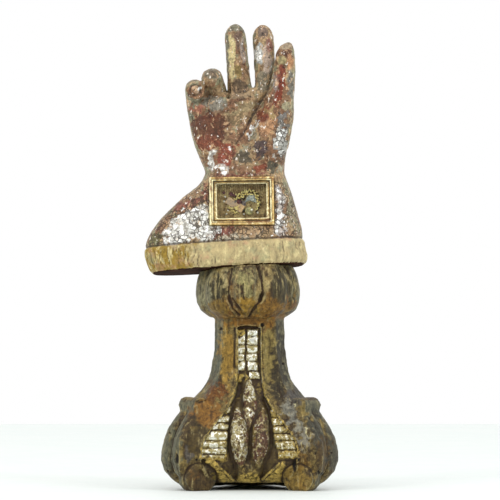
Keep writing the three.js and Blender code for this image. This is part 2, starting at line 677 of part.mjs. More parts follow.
/** Frame, pane and contents, together in the tilted window. */
function windowGroup() {
  const bedFront = FRAME_DEPTH - BED_THICKNESS;
  const window = new THREE.Group();
  const lump = new THREE.SphereGeometry(4.4, 9, 6).scale(1, 0.42, 1);
  const strip = piece('relic_strip', chipGeometry(STRIP_OUTLINE, 1.2, 0.25), palePaper);
  strip.position.set(-6.4, 0, 0.8);
  const stone = piece('relic_stone', chipGeometry(STONE_OUTLINE, 2.6, 0.9), blueStone);
  stone.position.set(8.6, -1.6, 2.8);
  const relicLump = piece('relic_lump', lump, greenishLump);
  relicLump.position.set(7.2, bedFront - 2.4, -9.2);
  window.add(
    piece('window_frame', weld(frameGeometry()), giltFrame),
    piece('window_glass', rebateBoard(GLASS_FRONT, GLASS_THICKNESS), clearGlass),
    piece('relic_bed', rebateBoard(bedFront, BED_THICKNESS), mottledBed),
    strip,
    stone,
    relicLump,
    piece('gold_wire_upper', wireGeometry(UPPER_WIRE), giltWire),
    piece('gold_wire_right', wireGeometry(RIGHT_WIRE), giltWire),
  );
  return placeInWindow(window);
}

/** The whole object, moved so that its origin is at the middle of its underside. */
function buildReliquary() {
  const figure = new THREE.Group();
  figure.add(
    piece('stand', standGeometry(), stainedWood),
    piece('hand_and_sleeve', handGeometry(), silveredWood),
    windowGroup(),
  );
  figure.updateMatrixWorld(true);
  const bounds = new THREE.Box3().setFromObject(figure, true);
  const middle = bounds.getCenter(new THREE.Vector3());
  figure.position.set(-middle.x, -middle.y, -bounds.min.z);
  const group = new THREE.Group();
  group.add(figure);
  return group;
}

const group = buildReliquary();

export default group;
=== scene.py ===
import logging
import math
from dataclasses import dataclass, field
from enum import Enum
from typing import Sequence

import bmesh
import bpy
import numpy as np
from mathutils import Matrix, Vector, noise


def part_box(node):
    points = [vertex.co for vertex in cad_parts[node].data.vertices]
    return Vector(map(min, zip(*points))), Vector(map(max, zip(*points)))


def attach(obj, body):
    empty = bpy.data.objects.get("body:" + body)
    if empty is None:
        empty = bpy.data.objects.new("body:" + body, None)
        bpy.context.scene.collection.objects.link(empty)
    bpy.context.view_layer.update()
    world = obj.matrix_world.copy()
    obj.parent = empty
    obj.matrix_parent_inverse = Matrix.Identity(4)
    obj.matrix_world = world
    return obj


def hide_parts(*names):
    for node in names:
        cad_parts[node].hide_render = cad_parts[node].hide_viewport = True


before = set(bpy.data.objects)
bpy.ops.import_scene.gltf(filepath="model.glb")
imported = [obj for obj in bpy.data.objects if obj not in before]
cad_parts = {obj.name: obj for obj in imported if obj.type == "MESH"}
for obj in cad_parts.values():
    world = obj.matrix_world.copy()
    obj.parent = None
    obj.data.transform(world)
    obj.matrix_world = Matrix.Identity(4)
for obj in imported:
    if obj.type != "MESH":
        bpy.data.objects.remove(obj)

log = logging.getLogger("reliquary_hand")

MM = 0.001
BODY = "root"

# The maker's frame is the frame of the measurements: millimetres, the foot's axis at x = y = 0, Z up, the
# palm facing -Y. The foot reaches this far behind its own axis.
FOOT_REACH_BACK = 93.04

# Points of the CAD nodes nearer than this are one
MERGE_MM = 0.01

# Place that stands for a point that isn't on a petal or a roll at all, where its edge is one
FAR = 9.0

# A paint is a hex colour or the socket of one. A value is a number, a socket or the name of a value that the
# piece's mesh carries.
Socket = bpy.types.NodeSocket
Paint = str | Socket
Value = float | str | Socket
Rows = Sequence[Sequence[float]]


def maker_origin() -> Vector:
    """Place of the foot's axis on the floor, in metres in the frame."""
    low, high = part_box("stand")
    return Vector(((low.x + high.x) / 2, high.y - FOOT_REACH_BACK * MM, 0.0))


ORIGIN = maker_origin()


def linear(code: str) -> tuple[float, float, float, float]:
    """Linear colour of an sRGB hex value.

    Args:
        code: Colour as "#rrggbb".

    Returns:
        Linear red, green, blue and an alpha of one.
    """
    parts = [int(code[i:i + 2], 16) / 255 for i in (1, 3, 5)]
    red, green, blue = [c / 12.92 if c <= 0.04045 else ((c + 0.055) / 1.055) ** 2.4 for c in parts]
    return red, green, blue, 1.0


def colour_of(paint: Paint) -> Socket | tuple[float, float, float, float]:
    """Linear colour of a hex paint, or the socket that carries the colour."""
    return linear(paint) if isinstance(paint, str) else paint


def per_size(size_mm: float) -> float:
    """Scale of a texture on Object coordinates whose features are about this many millimetres across."""
    return 1.0 / (size_mm * MM)


def feed(tree: bpy.types.NodeTree, node: bpy.types.Node, links: dict) -> None:
    """Gives a node's inputs their values and links.

    Args:
        tree: The node's tree.
        node: The node.
        links: Input name or number to a value or to the output socket that feeds it.
    """
    for key, value in links.items():
        if isinstance(value, Socket):
            tree.links.new(value, node.inputs[key])
        else:
            node.inputs[key].default_value = value


def add(tree: bpy.types.NodeTree, kind: str, links: dict | None = None,
        **settings: str | bool) -> bpy.types.Node:
    """Adds one node, with its settings, its values and its links.

    Args:
        tree: Node tree to add to.
        kind: Node type, such as ShaderNodeTexNoise.
        links: Input name or number to a value or to the output socket that feeds it.
        **settings: Attributes of the node.

    Returns:
        The new node.
    """
    node = tree.nodes.new(kind)
    for name, value in settings.items():
        setattr(node, name, value)
    feed(tree, node, links or {})
    return node


@dataclass
class Ground:
    """A new material with its shader and the patterns that lie on it."""

    name: str
    tree: bpy.types.NodeTree = field(init=False)
    material: bpy.types.Material = field(init=False)
    shader: bpy.types.Node = field(init=False)
    place: Socket = field(init=False)

    def __post_init__(self) -> None:
        """Makes the material and keeps its shader and coordinates."""
        self.material = bpy.data.materials.new(self.name)
        self.material.use_nodes = True
        self.tree = self.material.node_tree
        self.shader = self.tree.nodes["Principled BSDF"]
        self.place = add(self.tree, "ShaderNodeTexCoord").outputs["Object"]

    def grain(self, size_mm: float, detail: float = 4.0, rough: float = 0.6, stretch_z: float = 1.0,
              seed: float = 0.0, warp: float = 0.0) -> Socket:
        """Cloudy pattern of a real size, from 0 to 1 with a mean of a half.

        Args:
            size_mm: Size of the clouds.
            detail: Finer layers.
            rough: Strength of the finer layers.
            stretch_z: How many times longer the clouds are along Z.
            seed: Shift that makes this pattern differ from the others.
            warp: Distortion.

        Returns:
            The pattern's value.
        """
        spot = add(self.tree, "ShaderNodeMapping", {
            "Vector": self.place, "Location": (seed * 0.11, seed * 0.07, seed * 0.05),
            "Scale": (1.0, 1.0, 1.0 / stretch_z)})
        pattern = add(self.tree, "ShaderNodeTexNoise", {
            "Vector": spot.outputs[0], "Scale": per_size(size_mm), "Detail": detail, "Roughness": rough,
            "Distortion": warp})
        return pattern.outputs["Fac"]

    def read(self, value: Value) -> float | Socket:
        """Turns the name of a value that the piece's mesh carries into its socket.

        Args:
            value: A number, a socket or such a name.

        Returns:
            The number or the socket.
        """
        if isinstance(value, str):
            return add(self.tree, "ShaderNodeAttribute", attribute_name=value).outputs["Fac"]
        return value

    def weigh(self, *terms: Value | tuple[Value, float]) -> Socket:
        """Weighted sum.

        Args:
            *terms: Values, each alone or with its weight.

        Returns:
            The sum.
        """
        total = 0.0
        for term in terms:
            value, weight = term if isinstance(term, tuple) else (term, 1.0)
            factors = {0: self.read(value), 1: weight, 2: total}
            total = add(self.tree, "ShaderNodeMath", factors, operation="MULTIPLY_ADD").outputs[0]
        return total

    def product_of(self, *terms: Value) -> Socket:
        """Product of values.

        Args:
            *terms: The values.

        Returns:
            Their product.
        """
        total = self.read(terms[0])
        for term in terms[1:]:
            factors = {0: total, 1: self.read(term)}
            total = add(self.tree, "ShaderNodeMath", factors, operation="MULTIPLY").outputs[0]
        return total

    def where(self, value: Value, low: float, high: float, top: float = 1.0) -> Socket:
        """Mask that rises smoothly from nought where a value is low to top where it is high."""
        limits = {0: self.read(value), 1: low, 2: high, 3: 0.0, 4: top}
        return add(self.tree, "ShaderNodeMapRange", limits, interpolation_type="SMOOTHSTEP").outputs[0]

    def set(self, values: dict[str, float]) -> None:
        """Sets plain values on the shader's own sockets, by their names."""
        for name, value in values.items():
            self.shader.inputs[name].default_value = value

    def finish(self, colour: Paint, roughness: Value, metallic: Value, height: Socket,
               relief_mm: float) -> bpy.types.Material:
        """Joins the layers to the shader.

        Args:
            colour: Colour of the surface.
            roughness: Its roughness.
            metallic: How much of it is bare metal.
            height: Its own fine relief.
            relief_mm: Depth of that relief.

        Returns:
            The finished material.
        """
        relief = {"Height": height, "Strength": 1.0, "Distance": relief_mm * MM}
        bump = add(self.tree, "ShaderNodeBump", relief)
        feed(self.tree, self.shader, {"Base Color": colour_of(colour), "Roughness": roughness,
                                      "Metallic": metallic, "Normal": bump.outputs[0]})
        return self.material


class Coats:
    """Colour of a surface, laid coat upon coat."""

    def __init__(self, ground: Ground, paint: str) -> None:
        """Starts from one plain paint."""
        self.ground = ground
        self.colour = linear(paint)

    def cover(self, paint: Paint, share: Value) -> "Coats":
        """Lays a paint over the colour.

        Args:
            paint: The paint.
            share: How much of it shows.

        Returns:
            The same coats.
        """
        layers = {0: self.ground.read(share), 6: self.colour, 7: colour_of(paint)}
        mix = add(self.ground.tree, "ShaderNodeMix", layers, data_type="RGBA", clamp_factor=True)
        self.colour = mix.outputs[2]
        return self

    def coat(self, paint: Paint, value: Value, low: float, high: float, top: float = 1.0) -> "Coats":
        """Lays a paint over the colour, from none where a value is low to its top share where it is high."""
        return self.cover(paint, self.ground.where(value, low, high, top))

    def speckle(self, pattern: Socket, dark: float, light: float) -> "Coats":
        """Darkens the colour where a pattern is low and lightens it where it is high.

        Args:
            pattern: Cloudy pattern that averages a half.
            dark: Factor where the pattern is lowest.
            light: Factor where it is highest.

        Returns:
            The same coats.
        """
        tree = self.ground.tree
        factor = add(tree, "ShaderNodeMapRange", {0: pattern, 1: 0.36, 2: 0.64, 3: dark, 4: light}).outputs[0]
        mix = add(tree, "ShaderNodeMix", {0: 1.0, 6: self.colour, 7: factor}, data_type="RGBA",
                  blend_type="MULTIPLY")
        self.colour = mix.outputs[2]
        return self

    def stain_and_light(self, pattern: Socket, softness: float) -> "Coats":
        """Lays the patches of discolouring, painted shade and painted sheen that the piece's mesh carries.

        Args:
            pattern: Cloudy pattern that averages a half and frays the patches' edges.
            softness: How gently a stain fades in, from 0.2 for a crisp edge to 1 for a haze.

        Returns:
            The same coats.
        """
        colour = add(self.ground.tree, "ShaderNodeAttribute", attribute_name="stain_and_light").outputs["Color"]
        share = self.ground.weigh("stain_and_light_share", (pattern, 2.2))
        middle, top = 1.5, 0.88
        return self.coat(colour, share, middle - softness / 2, middle + softness / 2, top)


def put(name: str, data: bpy.types.ID) -> bpy.types.Object:
    """Puts a new object in the scene, at the origin.

    Args:
        name: Name of the object.
        data: Its mesh, curve, light or camera.

    Returns:
        The new object.
    """
    thing = bpy.data.objects.new(name, data)
    bpy.context.scene.collection.objects.link(thing)
    return thing


def new_piece(name: str, shape: bmesh.types.BMesh) -> bpy.types.Object:
    """Object in the scene from a finished bmesh, which is then freed.

    Args:
        name: Name of the piece.
        shape: Its shape, already in place.

    Returns:
        The new object, at the origin.
    """
    mesh = bpy.data.meshes.new(name)
    shape.to_mesh(mesh)
    shape.free()
    return put(name, mesh)


def with_modifiers_applied(piece: bpy.types.Object) -> None:
    """Replaces a piece's mesh by what its modifiers make of it.

    Args:
        piece: The piece.
    """
    graph = bpy.context.evaluated_depsgraph_get()
    made = bpy.data.meshes.new_from_object(piece.evaluated_get(graph))
    piece.modifiers.clear()
    piece.data = made


def merged_copy(node: str) -> bmesh.types.BMesh:
    """Copy of a CAD node's shape with its loose triangles merged.

    Args:
        node: Name of the CAD node.

    Returns:
        The merged copy.
    """
    shape = bmesh.new()
    shape.from_mesh(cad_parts[node].data)
    bmesh.ops.remove_doubles(shape, verts=shape.verts, dist=MERGE_MM * MM)
    return shape


def settle(piece: bpy.types.Object, slot: str, *nodes: str) -> bpy.types.Object:
    """Ties a finished piece to the frame.

    Args:
        piece: The piece.
        slot: Material slot of the record that it takes its finish from; not used.
        *nodes: CAD nodes that it stands for.

    Returns:
        The same piece.
    """
    if nodes:
        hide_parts(*nodes)
    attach(piece, BODY)
    log.info("made %s with %d faces", piece.name, len(piece.data.polygons))
    return piece


def dress(piece: bpy.types.Object, *materials: bpy.types.Material) -> None:
    """Gives a piece its materials and shades it smooth.

    Args:
        piece: The piece.
        *materials: Its materials, the first for all its faces.
    """
    piece.data.materials.clear()
    for material in materials:
        piece.data.materials.append(material)
    piece.data.shade_smooth()


class Carving:
    """Fine mesh grown over a CAD solid, whose points a carver's cuts push about. Lengths are millimetres in
    the maker's frame."""

    def __init__(self, node: str, name: str, voxel_mm: float) -> None:
        """Grows the fine mesh.

        Args:
            node: CAD node to copy.
            name: Name of the new piece.
            voxel_mm: Width of a face of the fine mesh.
        """
        self.piece = new_piece(name, merged_copy(node))
        remesh = self.piece.modifiers.new("fine", "REMESH")
        remesh.mode = "VOXEL"
        remesh.voxel_size = voxel_mm * MM
        with_modifiers_applied(self.piece)
        self.read()
        edges = np.zeros(len(self.piece.data.edges) * 2, np.int32)
        self.piece.data.edges.foreach_get("vertices", edges)
        self.edges = edges.reshape(-1, 2)
        self.degree = np.bincount(self.edges.ravel(), minlength=len(self.points))[:, None]

    def read(self) -> None:
        """Reads the points and their normals from the mesh."""
        mesh = self.piece.data
        count = len(mesh.vertices)
        points, normals = np.zeros((2, count * 3), np.float32)
        mesh.vertices.foreach_get("co", points)
        mesh.vertex_normals.foreach_get("vector", normals)
        self.points = (points.reshape(-1, 3).astype(float) - np.array(ORIGIN)) / MM
        self.normals = normals.reshape(-1, 3).astype(float)

    def write(self) -> None:
        """Writes the points to the mesh and reads its new normals."""
        points = (self.points * MM + np.array(ORIGIN)).astype(np.float32)
        self.piece.data.vertices.foreach_set("co", points.ravel())
        self.piece.data.update()
        self.read()

    def averaged(self, values: np.ndarray, turns: int) -> np.ndarray:
        """Values evened out over the neighbours.

        Args:
            values: One row for each point.
            turns: How many times each point takes its neighbours' mean.

        Returns:
            The evened values.
        """
        rows = values.reshape(len(self.points), -1).astype(float)
        here, there = self.edges.T
        for _ in range(turns):
            total = [np.bincount(here, column[there], len(rows)) + np.bincount(there, column[here], len(rows))
                     for column in rows.T]
            rows = 0.5 * rows + 0.5 * np.stack(total, 1) / self.degree
        return rows.reshape(values.shape)

    def relax(self, share: np.ndarray, turns: int) -> None:
        """Rounds the facets off where share is near one, without making the shape smaller.

        Args:
            share: How much each point follows, from 0 to 1.
            turns: Strength of the rounding.
        """
        once = self.averaged(self.points, turns)
        smooth = 2 * once - self.averaged(once, turns)
        self.points += (smooth - self.points) * share[:, None]
        self.write()

    def push(self, out_mm: np.ndarray) -> None:
        """Moves every point along its normal by so many millimetres."""
        self.points += self.normals * out_mm[:, None]
        self.write()

    def front(self) -> np.ndarray:
        """One where the surface faces the front, nought where it faces away or sideways."""
        return soft_step(-self.normals[:, 1], 0.05, 0.45)

    def cut(self, cuts: "Sequence[Cut]", wobble: np.ndarray, kept: np.ndarray | float = 1.0) -> None:
        """Makes cuts on the front, whose points stray from clean lines and keep a share of the depth."""
        for cut in cuts:
            self.push(cut.on(self.points, wobble) * self.front() * kept)

    def clouds(self, size_mm: float, seed: float = 0.0, stretch_z: float = 1.0) -> np.ndarray:
        """Smooth noise from about -1 to 1.

        Args:
            size_mm: Real size of its features.
            seed: Shift that makes these clouds differ from others.
            stretch_z: How many times longer they are along Z.

        Returns:
            The value of each point.
        """
        shift = Vector((seed * 13.7, seed * 7.3, seed * 3.1))
        scale = np.array([1, 1, 1 / stretch_z]) / size_mm
        return np.array([noise.noise(Vector(p) + shift) for p in self.points * scale])

    def layered(self, layers: Rows) -> np.ndarray:
        """Sum of clouds from rows of strength, size in millimetres, seed and perhaps a stretch along Z."""
        return sum(strength * self.clouds(*how) for strength, *how in layers)

    def strayed(self, reach_mm: float | np.ndarray) -> np.ndarray:
        """Points shifted across and up by clouds, so that patches set out by them get uneven outlines.

        Args:
            reach_mm: How far they stray.

        Returns:
            The shifted points.
        """
        moved = self.points.copy()
        for axis, seed in ((0, 71.0), (2, 74.0)):
            layers = ((1.0, 11, seed), (0.8, 5, seed + 1), (0.5, 2.4, seed + 2))
            moved[:, axis] += reach_mm * self.layered(layers)
        return moved

    def hollows(self, turns: int, depth_mm: float) -> np.ndarray:
        """How far each point lies in a hollow of this depth, from 0 to 1, or on a ridge, from 0 to -1."""
        lift = ((self.averaged(self.points, turns) - self.points) * self.normals).sum(1)
        return np.clip(lift / depth_mm, -1, 1)

    def paint(self, **layers: np.ndarray) -> None:
        """Stores values on every point for the materials to read.

        Args:
            **layers: The values, each under the name that the materials read.
        """
        for name, values in layers.items():
            layer = self.piece.data.attributes.new(name, "FLOAT", "POINT")
            layer.data.foreach_set("value", np.clip(values, 0, 1).astype(np.float32))

    def stain_and_light(self, places: np.ndarray, stains_and_light: "Sequence[StainAndLight]", kept: np.ndarray) -> None:
        """Stores the colour and the strength of the patches of discolouring, painted shade and painted sheen
        on every point.

        Args:
            places: Points that the stains are set out by.
            stains_and_light: The patches of discolouring, painted shade and painted sheen.
            kept: Share of the stains that each point keeps.
        """
        shares = np.stack([stain_and_light.place.share(places) for stain_and_light in stains_and_light])
        # The cube lets the strongest patch rule where two overlap, the small rest avoids dividing by nought
        weights = shares ** 3 + 1e-9
        colours = np.array([linear(stain_and_light.colour) for stain_and_light in stains_and_light])
        mixed = weights.T @ colours / weights.sum(0)[:, None]
        layer = self.piece.data.attributes.new("stain_and_light", "FLOAT_COLOR", "POINT")
        layer.data.foreach_set("color", mixed.astype(np.float32).ravel())
        self.paint(stain_and_light_share=shares.max(0) * kept)


def soft_step(value: np.ndarray, low: float, high: float) -> np.ndarray:
    """Smooth step from nought at low to one at high."""
    t = np.clip((value - low) / (high - low), 0, 1)
    return t * t * (3 - 2 * t)


def fade(value: np.ndarray, low: float, high: float) -> np.ndarray:
    """Smooth fall from one at low to nought at high."""
    return 1 - soft_step(value, low, high)


def soft_band(value: np.ndarray, middle: float, half_width: float, power: int = 2) -> np.ndarray:
    """Bell that is one at the middle and a third at the half width, flatter with a higher power."""
    return np.exp(-((value - middle) / half_width) ** power)


def way_along(corners: np.ndarray) -> np.ndarray:
    """Length of a polyline up to each of its corners."""
    return np.concatenate([[0], np.cumsum(np.linalg.norm(np.diff(corners, axis=0), axis=1))])


def near_path(points: np.ndarray, path: Rows) -> np.ndarray:
    """Distance of points from a polyline, in as many dimensions as the polyline has.

    Args:
        points: Rows of coordinates.
        path: Corners of the polyline.

    Returns:
        Each point's distance.
    """
    best = np.full(len(points), np.inf)
    corners = np.array(path, float)
    for start, end in zip(corners[:-1], corners[1:]):
        along = end - start
        share = np.clip(((points - start) @ along) / (along @ along), 0, 1)
        best = np.minimum(best, np.linalg.norm(points - start - share[:, None] * along, axis=1))
    return best


def tabled(rows: Rows, value: np.ndarray) -> np.ndarray:
    """Straight-line reading of a table of [position, value] rows."""
    table = np.array(rows, float)
    return np.interp(value, table[:, 0], table[:, 1])


@dataclass(frozen=True)
class Patch:
    """Soft oval on the front of a carving, in millimetres across and up, turned by degrees."""

    across: float
    up: float
    half_across: float
    half_up: float
    turn: float = 0.0
    strength: float = 1.0

    def share(self, points: np.ndarray) -> np.ndarray:
        """How strongly each point is inside the oval.

        Args:
            points: The points.

        Returns:
            A value from 0 to the oval's strength for each.
        """
        angle = math.radians(self.turn)
        dx, dz = points[:, 0] - self.across, points[:, 2] - self.up
        along = (dx * math.cos(angle) + dz * math.sin(angle)) / self.half_across
        over = (dz * math.cos(angle) - dx * math.sin(angle)) / self.half_up
        return self.strength * fade(np.hypot(along, over), 0.55, 1.25)


@dataclass(frozen=True)
class StainAndLight:
    """Patch of another colour on the front of a carving: most are discolouring, some are painted shade and
    some painted sheen.
    """

    colour: str
    place: Patch


def ovals(*rows: Sequence[float]) -> tuple[Patch, ...]:
    """Patches from rows of across, up, half across, half up, turn and strength."""
    return tuple(Patch(*row) for row in rows)


def stains_and_light(*rows: Sequence) -> tuple[StainAndLight, ...]:
    """Patches of colour from rows of a colour and the values of a patch."""
    return tuple(StainAndLight(colour, Patch(*oval)) for colour, *oval in rows)


def patches(points: np.ndarray, places: Sequence[Patch]) -> np.ndarray:
    """Strongest of several soft ovals at each point."""
    return np.max([oval.share(points) for oval in places], axis=0)


@dataclass(frozen=True)
class SilveredWood:
    """Carved wood under chalk ground, red-brown bole and silver leaf, varnished and worn for centuries. To
    the eye: red-brown and mauve clouds broken by tan chips of bare ground and dark pits, crackled leaf that
    still shines in patches, painted grey-green sheen where the surface turns sideways or away, grime and
    painted shade in the hollows, and a thin yellowed varnish over it all."""

    bole: str = "#7f5c42"
    tan: str = "#a48a66"
    # Grey-green: clouds of it by chance, and painted sheen where the surface turns sideways or away
    olive: str = "#8d896b"
    red: str = "#7a3822"
    brown: str = "#553622"
    chalk: str = "#c9a57e"
    silver: str = "#f4f3ee"
    tarnish: str = "#a09b90"
    glint: str = "#e6dccf"
    crack: str = "#3a2c1e"
    # Dark brown of the grime in the pits and of the painted shade in the hollows
    dirt_and_shade: str = "#22150d"
    fringe_gold: str = "#957929"
    fringe_grey: str = "#b8a578"
    fringe_pale: str = "#dfcf98"
    fringe_dark: str = "#8a7648"
    fringe_pink: str = "#bc9070"
    fringe_green: str = "#9c9c76"
    flake_mm: float = 4.4
    crack_wander_mm: float = 4.0

    def body(self, g: Ground, mid: Socket, flecks: Socket, pits: Socket) -> Coats:
        """Colour of everything but the leaf: bole, varnish and bare chalk ground.

        Args:
            g: The material.
            mid: Clouds about 5 mm wide.
            flecks: Clouds about 3 mm wide.
            pits: Other clouds about 3 mm wide.

        Returns:
            The coats.
        """
        body = Coats(g, self.bole).coat(self.tan, g.weigh(g.grain(26, 3, 0.5), (pits, 0.6)), 0.7, 0.9)
        # The olive value adds painted grey-green sheen where the surface turns sideways or away
        body.coat(self.olive, g.weigh(mid, ("olive", 0.24)), 0.56, 0.66)
        body.coat(self.red, g.weigh(pits, ("red", 0.2)), 0.6, 0.72)
        body.coat(self.brown, mid, 0.44, 0.36, 0.75)
        body.stain_and_light(g.weigh((mid, 0.4), (flecks, 0.6)), 0.4)
        return body.coat(self.chalk, g.weigh(flecks, ("edge", 0.05)), 0.57, 0.65, 0.75)

    def cracks(self, g: Ground) -> tuple[Socket, Socket]:
        """Broken net of cracks in the leaf, and a value for each flake between them.

        Args:
            g: The material.

        Returns:
            The lines and the flakes' values.
        """
        wander = add(g.tree, "ShaderNodeTexNoise", {"Vector": g.place, "Scale": per_size(6), "Detail": 3.0})
        reach = {0: wander.outputs["Color"], "Scale": self.crack_wander_mm * MM}
        shift = add(g.tree, "ShaderNodeVectorMath", reach, operation="SCALE")
        bent = add(g.tree, "ShaderNodeVectorMath", {0: g.place, 1: shift.outputs[0]}, operation="ADD")
        cells = {"Vector": bent.outputs[0], "Scale": per_size(self.flake_mm)}
        edges = add(g.tree, "ShaderNodeTexVoronoi", cells, feature="DISTANCE_TO_EDGE").outputs["Distance"]
        flakes = add(g.tree, "ShaderNodeTexVoronoi", cells, feature="F1").outputs["Color"]
        broken = g.where(g.grain(9, 3, 0.6, seed=14.0), 0.4, 0.52)
        return g.product_of(g.where(edges, 0.13, 0.04), broken), flakes

    def fringe(self, g: Ground, mid: Socket, flecks: Socket) -> Socket:
        """Colour of the gilt and greyed fringe: wavering strokes, pale on the crests, and a few pink and
        green blotches.

        Args:
            g: The material.
            mid: Clouds about 5 mm wide.
            flecks: Clouds about 3 mm wide.

        Returns:
            The colour.
        """
        strokes = g.grain(6, 4, 0.7, stretch_z=2.6, seed=17.0, warp=0.4)
        band = Coats(g, self.fringe_grey).coat(self.fringe_gold, g.weigh("band_gold", mid), 0.75, 1.25)
        for seed, colour in ((19.0, self.fringe_pink), (29.0, self.fringe_green)):
            band.coat(colour, g.grain(18, 4, 0.6, seed=seed), 0.54, 0.66, 0.55)
        band.coat(self.fringe_pale, strokes, 0.5, 0.66, 0.8).coat(self.fringe_dark, strokes, 0.43, 0.34, 0.5)
        return band.speckle(flecks, 0.84, 1.18).colour

    def make(self) -> bpy.types.Material:
        """Builds the material.

        Returns:
            The finish of the hand and the sleeve.
        """
        g = Ground("silver_leaf_over_red_bole_on_wood")
        mid = g.grain(10, 5, 0.7, seed=2.0, warp=0.5, stretch_z=1.4)
        flecks = g.grain(5.5, 4, 0.7, seed=5.0, warp=0.5, stretch_z=1.4)
        pits = g.grain(5, 4, 0.7, seed=8.0, warp=0.7)
        shreds = g.grain(4.4, 4, 0.75, seed=11.0, warp=0.5)
        specks = g.grain(3.4, 3, 0.75, seed=23.0)
        glints = g.grain(3.2, 2, 0.6, seed=27.0, stretch_z=1.6)
        net, flakes = self.cracks(g)
        lines = g.product_of(net, "crackle")
        held = g.weigh((shreds, 0.6), (mid, 0.4), (flakes, 0.14), ("leaf", 0.3), ("edge", 0.06))
        leaf = g.where(held, 0.82, 0.86)
        bright = g.where(g.weigh(pits, (flakes, 0.4)), 0.56, 0.8)
        metal = Coats(g, self.tarnish).cover(self.silver, bright).speckle(specks, 0.7, 1.2)
        coats = self.body(g, mid, flecks, pits).speckle(specks, 0.6, 1.42)
        coats.coat(self.dirt_and_shade, pits, 0.42, 0.35, 0.8).cover(metal.colour, leaf)
        coats.coat(self.glint, glints, 0.64, 0.7).cover(self.crack, g.weigh((lines, 0.85)))
        # Grime and painted shade darken the hollows and the creases
        coats.cover(self.fringe(g, mid, flecks), "band").cover(self.dirt_and_shade, g.weigh(("hollow", 0.85)))
        shine = g.product_of(leaf, bright, g.weigh(1.0, ("band", -0.9)), g.weigh(1.0, (lines, -1.0)))
        rough = g.weigh(0.5, (shine, -0.24), (shreds, 0.14))
        height = g.weigh((pits, 1.3), (shreds, 0.6), (lines, -0.35))
        g.set({"Specular IOR Level": 0.3, "Coat Weight": 0.08, "Coat Roughness": 0.25})
        return g.finish(coats.colour, rough, g.product_of(shine, 0.85), height, 0.9)


@dataclass(frozen=True)
class DryWood:
    """Bare old wood under the sleeve, never polished: dark red-brown, dusty and quite matt."""

    wood: str = "#43261a"
    dark: str = "#23130c"

    def make(self) -> bpy.types.Material:
        """Builds the material.

        Returns:
            The finish of the sleeve's underside.
        """
        g = Ground("bare_dry_wood")
        clouds = g.grain(9, 5, 0.7, seed=1.0)
        g.set({"Specular IOR Level": 0.05})
        return g.finish(Coats(g, self.wood).coat(self.dark, clouds, 0.4, 0.6).colour, 0.95, 0.0, clouds, 0.4)


